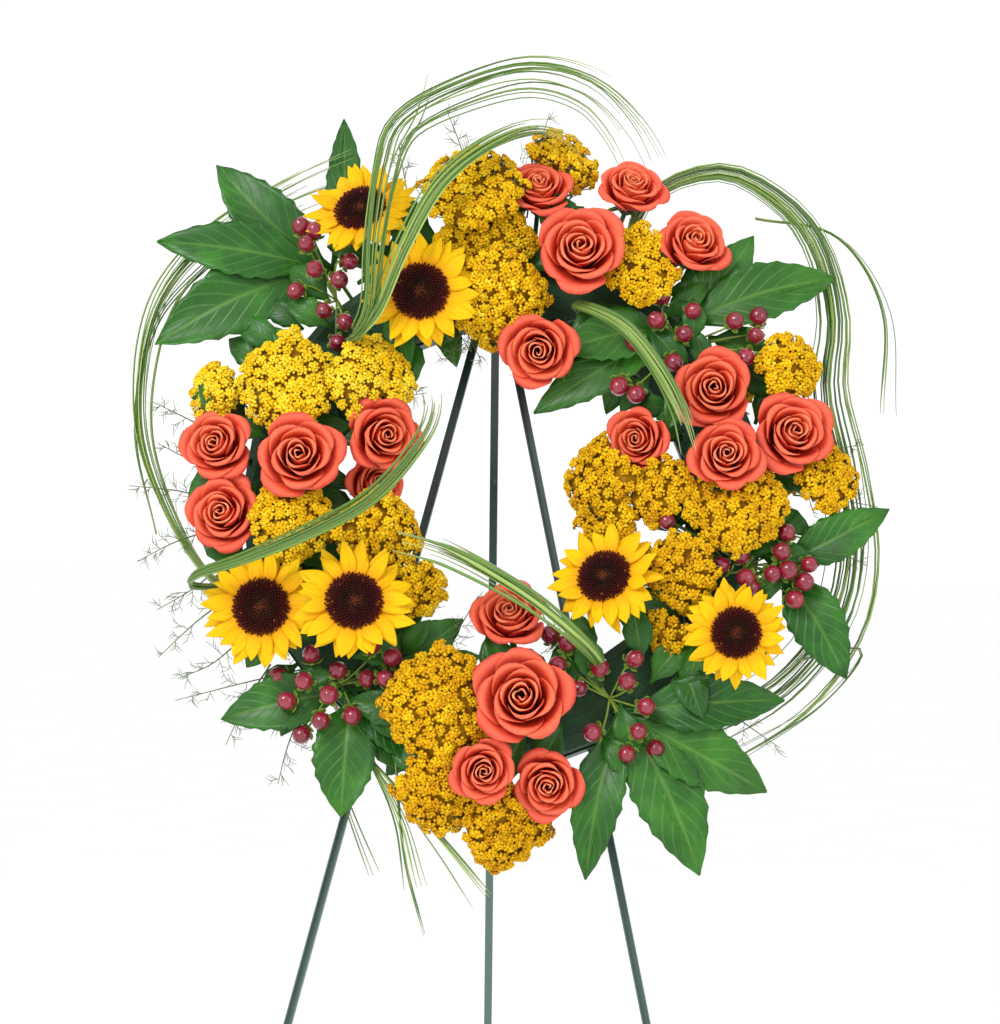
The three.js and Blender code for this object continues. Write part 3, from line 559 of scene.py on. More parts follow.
def rose_petal(sheaf, layer, turn, radius, rows, middle, rng):
    """One petal. Inner ones wrap the bud, outer ones open out and roll back at their rims."""
    v, u = along_and_across(PETAL_ROWS, PETAL_COLUMNS)
    rim_radius = 0.05 + 0.48 * layer + 0.54 * layer ** 2
    rim_height = 0.29 + 0.26 * layer - 0.6 * layer ** 2 + rng.uniform(-0.03, 0.03)
    crest = 0.03 + 0.24 * layer ** 1.3
    profile = bezier([(0.05, -0.72), (0.2 + 0.6 * rim_radius, -0.42),
                      (rim_radius * (0.9 - 0.3 * layer), rim_height + crest), (rim_radius, rim_height)], 60)
    outline = 1 - (0.3 - 0.06 * layer) * np.abs(u) ** (2.6 - 0.5 * layer)
    outline = outline + 0.07 * layer * (1 - np.abs(u)) ** 3
    travel = np.clip(v * outline, 0, 1) / max(1.0, float(outline.max()))
    steps = np.linspace(0, 1, 60)
    rho = np.interp(travel, steps, profile[:, 0])
    z = np.interp(travel, steps, profile[:, 1])
    span = 1.95 - 1.05 * layer
    angle = turn + u * span * (0.82 + 0.18 * np.sin(math.pi * v))
    rho = rho * (1 + (0.17 - 0.1 * layer) * u)
    roll = np.clip((travel - 0.84) / 0.16, 0, 1) ** 2
    rho = rho + roll * (0.035 + 0.03 * layer)
    z = z - roll * (0.02 + 0.1 * layer)
    fold = layer * np.abs(u) ** 3 * v ** 2
    z = z - 0.12 * fold + 0.018 * np.sin(3.1 * u + rng.uniform(0, 6)) * v ** 2 * (0.4 + layer)
    rho = rho + 0.02 * np.sin(4.3 * u + rng.uniform(0, 6)) * v ** 3
    grid = np.stack([rho * np.cos(angle), rho * np.sin(angle), np.broadcast_to(z, rho.shape)], -1) * radius
    form = form_of(travel, u, rho.shape, np.clip(layer + rng.uniform(-0.12, 0.12), 0, 1))
    sheaf.sheet(middle + grid @ rows, 0.55 + 0.25 * layer, form)


def calyx(sheaf, foot_level, radius, rows, middle, sepals, reach, rng):
    """The green cup under a bloom, with pointed sepals that hang out of it."""
    levels = np.array([(0.075, -0.2), (0.2, -0.08), (0.24, 0.06), (0.16, 0.16)]) + (0, foot_level)
    path = middle + np.outer(levels[:, 1] * radius, rows[2])
    sheaf.tube(path, levels[:, 0] * radius, 10, 0.4, GREEN_PART)
    for k in range(sepals):
        turn = 2 * math.pi * k / sepals + rng.uniform(-0.2, 0.2)
        v, u = along_and_across(7, 3)
        rho = 0.16 + reach * np.sin(v * 1.25)
        z = foot_level + 0.1 + (0.28 - 0.5 * rng.random()) * v ** 2 * reach
        width = 0.09 * (1 - v) ** 0.6 * (0.6 + v) + 0.004
        grid = rayed(rho, u * width, z + 0.02 * np.abs(u), turn) * radius
        sheaf.sheet(middle + grid @ rows, 0.6, form_of(v, u, grid.shape[:2], 0.6), GREEN_PART)


def make_rose(name, seed):
    rng = np.random.default_rng(seed)
    root, rows, middle, radius = bloom_of(ROSES[seed - 1])
    sheaf = Sheaf()
    for k in range(PETAL_COUNT):
        layer = 1 - (1 - k / (PETAL_COUNT - 1)) ** 1.3
        turn = k * GOLDEN_ANGLE + rng.uniform(-0.12, 0.12) + seed
        rose_petal(sheaf, layer, turn, radius, rows, middle, rng)
    calyx(sheaf, -0.78, radius, rows, middle, 5, 0.5, rng)
    stem = np.linspace(root, middle - rows[2] * 0.95 * radius, 5)
    sheaf.tube(stem, STEM_RADIUS, 7, 0.3, GREEN_PART)
    sheaf.piece(name + "_bloom", [ROSE, CALYX], stands_for=[name])


# ---------------------------------------------------------------- sunflowers

BUTTON_SIDES = 5
DISC_FLORETS = 330
DISC_PART = 2  # the material of a sunflower's disc
SUNFLOWER_STEM_RADIUS = 2.6


def button(low, wide, tip):
    """A small five-sided floret, open below: two rings, each a radius and a level, and its tip's level."""
    turn = np.arange(BUTTON_SIDES) * 2 * math.pi / BUTTON_SIDES
    rings = [np.stack([radius * np.cos(turn), radius * np.sin(turn), 0 * turn + level], -1)
             for radius, level in (low, wide)]
    number = np.arange(BUTTON_SIDES)
    beside = (number + 1) % BUTTON_SIDES
    wall = np.stack([number, beside, beside + BUTTON_SIDES, number + BUTTON_SIDES], -1)
    top = np.full(BUTTON_SIDES, 2 * BUTTON_SIDES)
    cap = np.stack([number + BUTTON_SIDES, beside + BUTTON_SIDES, top], -1)
    return np.concatenate([*rings, [[0, 0, tip]]]), [wall, cap]


def make_sunflower(name, seed):
    rng = np.random.default_rng(100 + seed)
    root, rows, middle, radius = bloom_of(SUNFLOWERS[seed - 1])
    sheaf = Sheaf()
    v, u = along_and_across(10, 7)
    for whorl, count in ((0, 17), (1, 16)):
        for k in range(count):
            turn = 2 * math.pi * (k + 0.5 * whorl) / count + rng.uniform(-0.09, 0.09)
            length = (0.62 - 0.04 * whorl) * rng.uniform(0.78, 1.06)
            lift = rng.uniform(-0.04, 0.1) + 0.05 * whorl
            bend = rng.uniform(-0.24, 0.16)
            sway = rng.uniform(-0.16, 0.16)
            width = 0.14 * rng.uniform(0.82, 1.15)
            outline = width * (0.42 + 0.58 * np.sin(math.pi * v ** 0.7)) * (1 - v ** 7) + 0.003
            rho = 0.4 + length * v
            side = u * outline + sway * v ** 2
            z = 0.045 + 0.035 * whorl + lift * v + bend * v ** 2
            z = z - 0.3 * np.abs(u) * outline + 0.012 * np.cos(u * 7) * np.sin(math.pi * v)
            grid = rayed(rho, side, z, turn) * radius
            sheaf.sheet(middle + grid @ rows, 0.5, form_of(v, u, grid.shape[:2], rng.random()))
    disc_radius = 0.47 * radius
    sheaf.tube(middle + np.outer(np.array([-0.1, 0.02, 0.1, 0.13]) * radius, rows[2]),
               np.array([0.75, 0.98, 0.85, 0.45]) * disc_radius, 24, 0.2, DISC_PART)
    share = np.sqrt((np.arange(DISC_FLORETS) + 0.5) / DISC_FLORETS)
    turns = np.arange(DISC_FLORETS) * GOLDEN_ANGLE
    dome = (0.15 - 0.07 * share ** 3 - 0.05 * np.exp(-(share / 0.3) ** 2)) * radius
    local = np.stack([share * disc_radius * np.cos(turns), share * disc_radius * np.sin(turns), dome], -1)
    centres = middle + local @ rows
    lean = np.where(share > 0.75, 0.75, 0.25)[:, None]
    out = unit(local * [1, 1, 0]) * lean * share[:, None] + [0, 0, 1]
    frames = np.array([axes_about(unit(o) @ rows, rows[0]) for o in out])
    base, faces = button((1, -0.5), (0.8, 1.0), 1.9)
    sizes = 0.95 * disc_radius / math.sqrt(DISC_FLORETS) * rng.uniform(0.8, 1.15, DISC_FLORETS)
    shades = rng.random(DISC_FLORETS) * np.where(share > 0.7, 1, 0.85)
    forms = np.zeros((DISC_FLORETS, 1, 3))
    forms[:, 0, 0] = share
    sheaf.copies(base, faces, forms, centres, frames, sizes, shades, DISC_PART)
    calyx(sheaf, -0.22, radius, rows, middle, 13, 0.55, rng)
    levels = np.array([(0.12, -0.42), (0.34, -0.26), (0.5, -0.1), (0.46, 0.0)])
    path = middle + np.outer(levels[:, 1] * radius, rows[2])
    sheaf.tube(path, levels[:, 0] * radius, 20, 0.5, GREEN_PART)
    stem = np.linspace(root, middle - rows[2] * 0.36 * radius, 5)
    sheaf.tube(stem, SUNFLOWER_STEM_RADIUS, 7, 0.3, GREEN_PART)
    sheaf.piece(name + "_bloom", [RAY, CALYX, DISC], stands_for=[name])


# ---------------------------------------------------------------- yarrow

CLUSTER_SPACING = 7.9
CLUSTER_RADIUS = 5.6
CLUSTER_FLORETS = 15
CLUSTER_TRIES = 7000
BACKING_DEPTH = 3.6


def backing(sheaf, points, triangles, normal):
    """The crowded buds behind the florets, painted dark as the shade they lie in: a dark closed layer that
    follows the head's outer faces.
    """
    lean = np.zeros_like(points)
    for corner in range(3):
        np.add.at(lean, triangles[:, corner], normal)
    lean = unit(lean)
    count = len(points)
    edges = np.concatenate([triangles[:, [0, 1]], triangles[:, [1, 2]], triangles[:, [2, 0]]])
    known = {(a, b) for a, b in edges.tolist()}
    rim = np.array([(a, b) for a, b in edges.tolist() if (b, a) not in known])
    wall = np.stack([rim[:, 1], rim[:, 0], rim[:, 0] + count, rim[:, 1] + count], -1)
    used = np.unique(np.concatenate([triangles, triangles + count]))
    place_of = np.zeros(2 * count, int)
    place_of[used] = np.arange(len(used))
    both = np.concatenate([points - lean * BACKING_DEPTH, points - lean * (BACKING_DEPTH + 1.5)])[used]
    faces = [place_of[triangles], place_of[triangles[:, ::-1] + count], place_of[wall]]
    # painted shade: the layer takes the dark brown of the florets' shaded feet
    sheaf.add(both, faces, [0.12, 0, 0.2])


def make_yarrow(name, seed, gold):
    """Flat-topped heads of small florets in clusters, spread over the outer faces of the CAD heads."""
    rng = np.random.default_rng(200 + seed)
    points, triangles = cad_points(name)
    corner = points[triangles]
    cross = np.cross(corner[:, 1] - corner[:, 0], corner[:, 2] - corner[:, 0])
    area = np.linalg.norm(cross, axis=1) / 2
    normal = unit(cross)
    open_faces = (normal[:, 2] > 0.15) & (corner[:, :, 2].max(1) > 45) & (area > 0.5)
    weight = np.where(open_faces, area, 0)
    picked = rng.choice(len(area), CLUSTER_TRIES, p=weight / weight.sum())
    a, b = rng.random((2, CLUSTER_TRIES, 1))
    flip = a + b > 1
    a, b = np.where(flip, 1 - a, a), np.where(flip, 1 - b, b)
    first, second, third = (corner[picked, k] for k in range(3))
    spots = first + a * (second - first) + b * (third - first)
    chosen = []
    for i in range(len(spots)):
        if np.all(np.sum((spots[chosen] - spots[i]) ** 2, axis=1) > CLUSTER_SPACING ** 2):
            chosen.append(i)
    sheaf = Sheaf()
    # a dark layer of painted shade under the florets, which fills the gaps between the clusters
    backing(sheaf, points, triangles[open_faces], normal[open_faces])
    base, faces = button((0.75, -0.9), (1, 0.1), 0.55)
    # along runs from a floret's foot (0) to its tip (1); the material paints shade on the lower part of each
    # floret from it
    form = np.zeros((len(base), 3))
    form[:, 0] = np.append(np.repeat([0.0, 0.75], BUTTON_SIDES), 1.0)
    order = (np.arange(CLUSTER_FLORETS) + 0.4) / CLUSTER_FLORETS
    centres, frames, sizes, shades = [], [], [], []
    for i in chosen:
        facing = unit(normal[picked[i]] + rng.normal(0, 0.14, 3))
        rows = axes_about(facing, (0, 1, 0))
        grown = rng.uniform(0.82, 1.12)
        rise = rng.uniform(-2.0, 1.4)
        share = np.sqrt(order)
        turn = np.arange(CLUSTER_FLORETS) * GOLDEN_ANGLE + rng.uniform(0, 6)
        dome = rise + 2.6 * (1 - share ** 2)
        local = np.stack([share * np.cos(turn), share * np.sin(turn), 0 * share], -1) * CLUSTER_RADIUS * grown
        local[:, 2] = dome
        local += rng.normal(0, 0.28, local.shape)
        centres.append(spots[i] + local @ rows)
        out = local * [1, 1, 0] / CLUSTER_RADIUS * 0.55 + [0, 0, 1] + rng.normal(0, 0.16, local.shape)
        frames += [axes_about(o, rows[0]) for o in unit(out) @ rows]
        sizes.append(rng.uniform(1.55, 2.15, CLUSTER_FLORETS) * grown)
        tone = rng.normal(gold, 0.1)
        shades.append(np.clip(tone + rng.normal(0, 0.16, CLUSTER_FLORETS), 0, 1))
        hub = spots[i] - facing * 16 - np.array([0, 0, 8])
        inward = (points.mean(0) - spots[i]) * [1, 1, 0]
        hub = hub + unit(inward) * min(10, np.linalg.norm(inward) * 0.4)
        middle = (spots[i] - facing * 6 + hub) / 2 + rng.normal(0, 1.0, 3)
        sheaf.tube([hub, middle, spots[i] - facing * 2.0], [1.1, 0.9, 1.3], 4, rng.random(), GREEN_PART)
        for k in range(0, CLUSTER_FLORETS, 6):
            tip = centres[-1][-1 - k]
            sheaf.tube([middle, tip - facing * 1.2], [0.45, 0.6], 3, rng.random(), GREEN_PART)
    sheaf.copies(base, faces, form, np.concatenate(centres), np.array(frames), np.concatenate(sizes),
                 np.concatenate(shades))
    sheaf.piece(name + "_florets", [YARROW, STALK], stands_for=[name])


# ---------------------------------------------------------------- berries

BERRY_RADIUS = 8.4
BERRY_SIDES = 14


def berry_centres(points):
    """The CAD berries' middles: halfway between the two poles of each, which lie one above the other."""
    found = []
    for p in points:
        across = points - p - np.array([0, 2 * BERRY_RADIUS, 0])
        near = np.argmin(np.sum(across ** 2, axis=1))
        if np.sum(across[near] ** 2) < 0.05:
            found.append((p + points[near]) / 2)
    return np.array(found)


def make_berries(name, seed):
    rng = np.random.default_rng(300 + seed)
    points, _ = cad_points(name)
    centres = berry_centres(points)
    low = points[points[:, 2] < points[:, 2].min() + 3].mean(0)
    sheaf = Sheaf()
    profile = np.array([(0.18, -0.96), (0.5, -0.86), (0.82, -0.56), (0.97, -0.12), (0.95, 0.3), (0.76, 0.7),
                        (0.46, 0.95), (0.2, 1.06), (0.1, 1.1), (0.07, 1.24)])
    fork = low + (centres.mean(0) - low) * 0.55
    sheaf.tube(np.linspace(low, fork, 4), 1.9, 6, 0.4, GREEN_PART)
    for centre in centres:
        nearby = centres[np.linalg.norm(centres - centre, axis=1) < 50].mean(0)
        outward = unit(centre - nearby + np.array([0, 0, 26]) + rng.normal(0, 5, 3))
        rows = axes_about(outward, (0, 1, 0))
        size = BERRY_RADIUS * rng.uniform(0.88, 1.02)
        path = centre + np.outer(profile[:, 1] * size, outward)
        sheaf.tube(path, profile[:, 0] * size, BERRY_SIDES, rng.random())
        form = sheaf.forms[-1].copy()
        height = (profile[:, 1] + 0.96) / 2.2
        form[:-2, 0] = np.repeat(height, BERRY_SIDES)
        form[-2:, 0] = [0, 1]
        sheaf.forms[-1] = form
        for k in range(5):
            turn = 2 * math.pi * k / 5 + rng.uniform(-0.1, 0.1)
            v, u = along_and_across(5, 3)
            rho = 0.14 + 1.05 * np.sin(v * 1.35)
            z = -0.98 + 0.42 * v ** 2 + 0.05 * np.abs(u)
            width = 0.34 * np.sin(math.pi * (0.12 + 0.86 * v)) ** 0.8
            grid = rayed(rho, u * width, z, turn) * size * 1.05
            sheaf.sheet(centre + grid @ rows, 0.5, form_of(v, u, grid.shape[:2], 0.5), GREEN_PART)
        start = centre - outward * size * 0.95
        bend = (start - outward * 12 + fork) / 2
        sheaf.tube(smooth_path([start, start - outward * 8, bend, fork], 9), 0.95, 5, 0.6, GREEN_PART)
    sheaf.piece(name + "_cluster", [BERRY, SEPAL], stands_for=[name])


# ---------------------------------------------------------------- leaves

# Each leaf: where its lobes meet, and each lobe's tip as clock, radius, height and width, as in the CAD.
LEAVES = {
    "leaf_top_left": ((322, 252, 44), [(318, 389, 56, 52), (305, 375, 68, 50), (292, 329, 60, 62),
                                       (336, 377, 28, 32)]),
    "leaf_top_right": ((44, 208, 58), [(42, 315, 60, 42), (55, 345, 66, 52), (21, 131, 84, 46),
                                       (20, 75, 68, 42)]),
    "leaf_right": ((103, 244, 56), [(91, 331, 70, 40), (117, 334, 58, 48)]),
    "leaf_bottom_right": ((150, 214, 58), [(166, 338, 64, 44), (151, 367, 60, 60), (137, 341, 56, 56),
                                           (125, 300, 62, 48)]),
    "leaf_bottom_left": ((215, 214, 58), [(229, 307, 60, 48), (204, 309, 60, 54), (194, 241, 62, 40),
                                          (195, 113, 58, 44)]),
}
LEAF_ARCH = 0.07


def leaf_blade(sheaf, hub, tip, width, shade, arch, rng, rows=22, columns=9, thickness=0.8, teeth=9):
    """One pointed lobe with a sunken midrib, ribs between its side veins and a lightly toothed edge."""
    along = tip - hub
    length = np.linalg.norm(along)
    ahead = along / length
    side = unit(np.cross((0, 0, 1), ahead))
    up = np.cross(ahead, side)
    v, u = along_and_across(rows, columns)
    half = width / 2 * np.interp(v, [0, 0.1, 0.2, 0.32, 0.45, 0.58, 0.7, 0.8, 0.88, 0.95, 1],
                                 [0.12, 0.16, 0.45, 0.84, 1, 0.98, 0.84, 0.64, 0.44, 0.2, 0.015])
    tooth = 1 + 0.05 * np.where(np.abs(u) > 0.98, np.sin(v * teeth * 2 * math.pi) * (v > 0.3) * (v < 0.97), 0)
    droop = rng.uniform(-0.03, 0.05)
    sweep = rng.uniform(-0.05, 0.05)
    cup = rng.uniform(0.1, 0.24)
    lift = arch * length * np.sin(math.pi * v) - droop * length * v ** 3
    ripple = 0.022 * width * np.sin(2 * math.pi * (9 * v - 2.6 * np.abs(u))) * np.abs(u) * np.sin(math.pi * v)
    wave = 0.05 * width * np.sin(5 * v + 2 * u + rng.uniform(0, 6)) * np.abs(u)
    height = lift + cup * half * np.abs(u) ** 1.4 + ripple * 0.5 + wave
    across = u * half * tooth + sweep * length * np.sin(math.pi * v)
    grid = hub + v[..., None] * along + across[..., None] * side + height[..., None] * up
    sheaf.sheet(grid, thickness, form_of(v, u, across.shape, shade))


def make_leaf(name, seed):
    rng = np.random.default_rng(400 + seed)
    hub, lobes = LEAVES[name]
    sheaf = Sheaf()
    start = place(*hub)
    for clock, radius, height, width in lobes:
        tip = place(clock, radius, height)
        leaf_blade(sheaf, start, tip, width, rng.uniform(0.0, 0.35), LEAF_ARCH, rng, rows=34, columns=11)
        ahead = unit(tip - start)
        rib = start + np.linspace(0, 0.93, 12)[:, None] * (tip - start)
        arch = LEAF_ARCH * np.linalg.norm(tip - start) * np.sin(math.pi * np.linspace(0, 0.93, 12))
        up = np.cross(ahead, unit(np.cross((0, 0, 1), ahead)))
        sheaf.tube(rib + (arch - 0.9)[:, None] * up, np.linspace(1.0, 0.35, 12), 5, 0.9)
    points, _ = cad_points(name)
    root = points[points[:, 2] < points[:, 2].min() + 3].mean(0)
    sheaf.tube(smooth_path([root, (root + start) / 2, start], 6), 1.8, 6, 0.6)
    sheaf.piece(name + "_blade", [LEAF], stands_for=[name])


# ---------------------------------------------------------------- bear grass

GRASS_ROUTES = {
    "grass_left_loop": [
        [(249, 214, 26), (250, 244, 44), (251, 274, 76), (251, 266, 112), (250, 226, 134), (251, 164, 142),
         (257, 108, 146), (286, 72, 140), (316, 80, 126), (329, 122, 104)],
        [(249, 214, 26), (252, 258, 56), (268, 291, 52), (282, 320, 50), (298, 343, 46), (311, 341, 44),
         (325, 328, 42), (337, 322, 40)],
    ],
    "grass_top_loop": [
        [(317, 190, 26), (314, 188, 70), (315, 178, 112), (323, 178, 138), (336, 214, 148), (347, 261, 142),
         (357, 300, 116), (5, 326, 76), (14, 322, 40)],
        [(317, 190, 26), (314, 188, 70), (315, 178, 112), (322, 184, 138), (331, 228, 142), (339, 290, 120),
         (344, 330, 96), (353, 356, 74), (2, 375, 60), (10, 371, 52), (17, 347, 46), (23, 318, 38)],
        [(317, 190, 26), (314, 188, 70), (315, 178, 112), (322, 182, 138), (332, 228, 144), (340, 290, 122),
         (346, 338, 90), (349, 385, 68), (351, 430, 60)],
    ],
    "grass_right_loop": [
        [(29, 206, 26), (23, 290, 32), (31, 346, 44), (41, 357, 52), (50, 350, 56), (60, 328, 50),
         (70, 300, 44), (84, 300, 40), (98, 310, 40), (110, 311, 40), (124, 296, 42), (139, 270, 44),
         (157, 250, 44)],
    ],
    "grass_front_comb": [
        [(24, 176, 26), (20, 172, 88), (36, 167, 128), (52, 163, 136), (68, 163, 138), (84, 166, 150)],
    ],
    "grass_bottom_comb": [
        [(151, 178, 26), (149, 174, 96), (154, 138, 128), (168, 97, 128), (210, 76, 126), (240, 104, 130)],
    ],
}
GRASS_LOOK = {  # blades to a strand, how far they fan apart, and their width, in millimetres
    "grass_left_loop": [(13, 8.0, 2.9), (15, 17.0, 1.5)],
    "grass_top_loop": [(13, 10.0, 2.7), (17, 24.0, 1.5), (2, 3.0, 1.4)],
    "grass_right_loop": [(22, 26.0, 1.5)],
    "grass_front_comb": [(14, 9.0, 2.7)],
    "grass_bottom_comb": [(14, 11.0, 2.7)],
}


def grass_blade(sheaf, path, width, shade, roll):
    """A narrow keeled blade along a path, tapering to its tip."""
    count = len(path)
    tangent = unit(np.gradient(path, axis=0))
    side = axes_about(tangent[0])[0]
    turned = math.cos(roll) * side + math.sin(roll) * np.cross(tangent[0], side)
    t = np.linspace(0, 1, count)
    half = width / 2 * np.minimum(1, 6 * (1 - t) + 0.12)
    left, middle, right = [], [], []
    for centre, ahead, reach in zip(path, tangent, half):
        turned = unit(turned - ahead * np.dot(turned, ahead))
        up = np.cross(ahead, turned)
        left.append(centre - turned * reach + up * reach * 0.35)
        middle.append(centre)
        right.append(centre + turned * reach + up * reach * 0.35)
    grid = np.stack([left, middle, right], 1)
    sheaf.sheet(grid, 0.5, form_of(t[:, None], [[-1, 0, 1]], (count, 3), shade))


def make_grass(name, seed):
    rng = np.random.default_rng(500 + seed)
    sheaf = Sheaf()
    for route, (blades, fan, wide) in zip(GRASS_ROUTES[name], GRASS_LOOK[name]):
        spine = smooth_path([place(*stop) for stop in route], 48)
        tangent = unit(np.gradient(spine, axis=0))
        side = unit(np.cross(tangent, (0, 0, 1)))
        lift = np.cross(side, tangent)
        t = np.linspace(0, 1, len(spine))
        spread = np.interp(t, [0, 0.12, 0.5, 0.85, 1], [0.12, 0.25, 0.8, 1.0, 1.25])
        for _ in range(blades):
            angle = rng.uniform(0, 2 * math.pi)
            reach = fan * math.sqrt(rng.random())
            drift = reach * spread
            wander = 0.25 * fan * np.sin(t * rng.uniform(2, 6) + rng.uniform(0, 6)) * spread
            path = (spine + side * (drift * math.cos(angle) + wander)[:, None]
                    + lift * (0.45 * drift * math.sin(angle))[:, None])
            stop = int(len(path) * rng.uniform(0.82, 1.0))
            width = wide * rng.uniform(0.75, 1.25)
            grass_blade(sheaf, path[:stop], width, rng.random(), rng.uniform(0, math.pi))
    sheaf.piece(name + "_blades", [GRASS], stands_for=[name])


# ---------------------------------------------------------------- fern and filler greenery

FERN_ARCH = 6
FERN_PAIRS = 8
TWIG_NEEDLES = 5


def fern_frond(sheaf, base, tip, rng, width=18.0):
    """A wispy frond: a thin stem, side twigs, and short needles along them."""
    crown = (base + tip) / 2 + np.array([0, 0, FERN_ARCH]) + rng.normal(0, 3, 3)
    stem = smooth_path([base, crown, tip], 2 * FERN_PAIRS + 1)
    sheaf.tube(stem, np.linspace(0.8, 0.3, len(stem)), 4, 0.2)
    ahead = unit(np.gradient(stem, axis=0))
    side = unit(np.cross(ahead, (0, 0, 1)))
    length = np.linalg.norm(tip - base)
    for k in range(2, 2 * FERN_PAIRS):
        hand = 1 if k % 2 else -1
        if rng.random() < 0.3:
            continue
        t = k / (2 * FERN_PAIRS)
        reach = width * (0.35 + 0.65 * math.sin(math.pi * min(1, 0.2 + t))) * rng.uniform(0.7, 1.15)
        reach = min(reach, 0.45 * length)
        way = unit(ahead[k] * 0.75 + side[k] * hand + rng.normal(0, 0.3, 3))
        twig = stem[k] + np.linspace(0, reach, 4)[:, None] * way
        sheaf.tube(twig, np.linspace(0.35, 0.18, 4), 3, 0.4)
        for j in range(TWIG_NEEDLES):
            start = stem[k] + way * reach * (j + 1) / TWIG_NEEDLES
            turn = rng.uniform(0, 2 * math.pi)
            frame_rows = axes_about(way)
            spike = unit(way * 0.8 + frame_rows[0] * math.cos(turn) + frame_rows[1] * math.sin(turn))
            sheaf.tube([start, start + spike * rng.uniform(6, 10)], [0.4, 0.15], 3, rng.random())


def make_fern():
    """The CAD's one sprig, and its fellows round the rim and in the hole."""
    rng = np.random.default_rng(600)
    sheaf = Sheaf()
    fern_frond(sheaf, place(226, 214, 30), place(236, 330, 46), rng)
    sheaf.piece("fern_sprig_needles", [FERN], stands_for=["fern_sprig"])
    others = Sheaf()
    for clock, inner, tip_clock, outer, height in FERN_PLACES:
        base = place(clock, inner, 46)
        tip = place(tip_clock, outer, height + rng.uniform(-6, 6))
        fern_frond(others, base, tip, rng, width=rng.uniform(13, 21))
    others.piece("fern_sprigs_small", [FERN])


FERN_PLACES = [  # clock and radius of the base, then clock, radius and height of the tip
    (268, 250, 270, 322, 50), (262, 250, 258, 318, 56), (255, 245, 250, 312, 44), (248, 250, 243, 325, 52),
    (240, 245, 238, 318, 60), (232, 245, 226, 318, 46), (222, 240, 216, 312, 40), (281, 250, 284, 316, 44),
    (274, 245, 277, 300, 60), (345, 170, 350, 112, 78), (0, 170, 8, 105, 74), (352, 165, 335, 120, 84),
    (15, 165, 28, 118, 70), (300, 160, 322, 108, 74), (262, 150, 250, 84, 70), (245, 150, 232, 92, 66),
    (200, 150, 190, 92, 70), (215, 150, 215, 96, 64), (88, 250, 90, 322, 46), (82, 245, 80, 315, 50),
    (96, 250, 99, 318, 42), (140, 240, 143, 300, 40), (147, 240, 150, 322, 44), (133, 240, 131, 322, 46),
    (176, 240, 179, 318, 44), (352, 250, 350, 352, 48), (3, 250, 5, 345, 52), (340, 250, 342, 330, 44),
    (100, 160, 96, 104, 72), (120, 158, 128, 104, 70), (155, 150, 160, 96, 66),
]


# Rings of short leaves: radius, number, least and most height, and whether they point outward or inward.
FOLIAGE_RINGS = ((166, 36, 50, 66, -1), (190, 34, 56, 74, -1), (208, 38, 56, 74, 1), (226, 50, 48, 66, 1))


def make_foliage():
    """Short leaves pushed in all round, which hide the foam and the rims of the tray."""
    rng = np.random.default_rng(700)
    sheaf = Sheaf()
    for ring_radius, count, low, high, outward in FOLIAGE_RINGS:
        for k in range(count):
            clock = 360 * (k + rng.uniform(-0.3, 0.3)) / count
            start = place(clock, ring_radius, rng.uniform(low, high))
            turn = rng.normal(0, 0.75)
            radial = place(clock, outward, 0)
            tangential = np.cross((0, 0, 1), radial)
            climb = np.array([0, 0, rng.uniform(-0.25, 0.3)])
            way = radial * math.cos(turn) + tangential * math.sin(turn) + climb
            length = rng.uniform(38, 60)
            leaf_blade(sheaf, start, start + unit(way) * length, length * rng.uniform(0.42, 0.58),
                       rng.uniform(0, 0.3), 0.12, rng, rows=10, columns=5, thickness=0.6, teeth=4)
    sheaf.piece("filler_foliage", [LEAF])


def make_hanging_blades():
    """Loose grass tips under the wreath and a few long ones at its sides."""
    rng = np.random.default_rng(800)
    sheaf = Sheaf()
    for route, blades, fan in LOOSE_GRASS:
        spine = smooth_path([place(*stop) for stop in route], 30)
        side = unit(np.cross(unit(np.gradient(spine, axis=0)), (0, 0, 1)))
        t = np.linspace(0, 1, len(spine))
        for _ in range(blades):
            path = spine + side * (rng.uniform(-1, 1) * fan * t ** 1.5)[:, None] + rng.normal(0, 0.6, 3)
            grass_blade(sheaf, path, rng.uniform(1.0, 2.0), rng.random(), rng.uniform(0, math.pi))
    sheaf.piece("loose_grass", [GRASS])


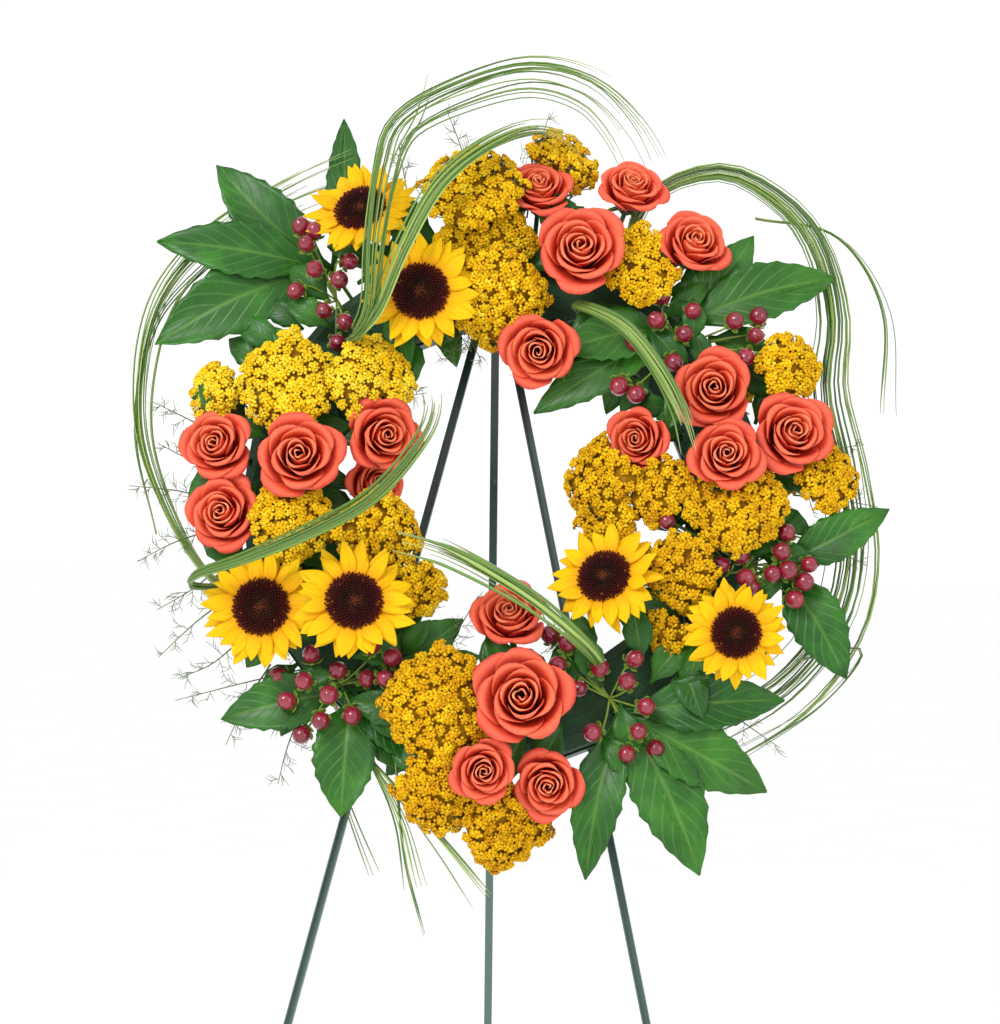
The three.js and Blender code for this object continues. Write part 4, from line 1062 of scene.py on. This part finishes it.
LOOSE_GRASS = [
    ([(217, 230, 60), (204, 255, 60), (195, 293, 60), (190, 345, 60)], 5, 14),
    ([(213, 242, 60), (197, 269, 60), (186, 309, 60), (180, 345, 60)], 4, 16),
    ([(222, 225, 58), (212, 262, 58), (203, 300, 54), (196, 340, 50)], 3, 12),
    ([(40, 330, 50), (50, 372, 44), (62, 371, 40), (76, 340, 42)], 3, 8),
    ([(262, 300, 50), (279, 324, 50), (296, 340, 46), (312, 330, 44)], 3, 8),
    ([(200, 240, 56), (193, 320, 58), (188, 384, 60)], 2, 14),
    ([(118, 290, 50), (112, 335, 46), (122, 325, 44), (136, 300, 46)], 3, 9),
]

# ---------------------------------------------------------------- the pieces themselves

YARROW_TONE = {
    "yarrow_top": 0.55, "yarrow_top_right": 0.5, "yarrow_upper_left": 0.86, "yarrow_lower_left": 0.6,
    "yarrow_inner_right": 0.42, "yarrow_right": 0.4, "yarrow_upper_right": 0.55, "yarrow_outer_right": 0.45,
    "yarrow_bottom_left": 0.36, "yarrow_bottom": 0.28,
}

for index in range(1, 19):
    make_rose(f"rose_{index:02d}", index)
for index in range(1, 7):
    make_sunflower(f"sunflower_{index:02d}", index)
for index, (name, tone) in enumerate(YARROW_TONE.items()):
    make_yarrow(name, index, tone)
for index, name in enumerate(["berries_top_left", "berries_top_right", "berries_right", "berries_bottom_left",
                              "berries_bottom_right"]):
    make_berries(name, index)
for index, name in enumerate(LEAVES):
    make_leaf(name, index)
for index, name in enumerate(GRASS_ROUTES):
    make_grass(name, index)
make_fern()
make_foliage()
make_hanging_blades()

STEEL, FOAM, TRAY = steel_material(), foam_material(), tray_material()
for names, material in (
    (("front_leg_left", "front_leg_right", "rear_leg", "head_bracket", "leg_rivet_left", "leg_rivet_right",
      "hinge_pin", "wreath_hook"), STEEL),
    (("foam_ring",), FOAM),
    (("ring_tray",), TRAY),
):
    for name in names:
        for holder in nodes[name].material_slots:
            holder.link = "OBJECT"
            holder.material = material

floor_mesh = bpy.data.meshes.new("floor")
FLOOR_HALF = 60
floor_corners = [(x * FLOOR_HALF, y * FLOOR_HALF, 0) for x, y in ((-1, -1), (1, -1), (1, 1), (-1, 1))]
floor_mesh.from_pydata(floor_corners, [], [(0, 1, 2, 3)])
floor_mesh.materials.append(floor_material())
floor = bpy.data.objects.new("floor", floor_mesh)
floor.location.z = cad_box[0][2] - MM
bpy.context.scene.collection.objects.link(floor)
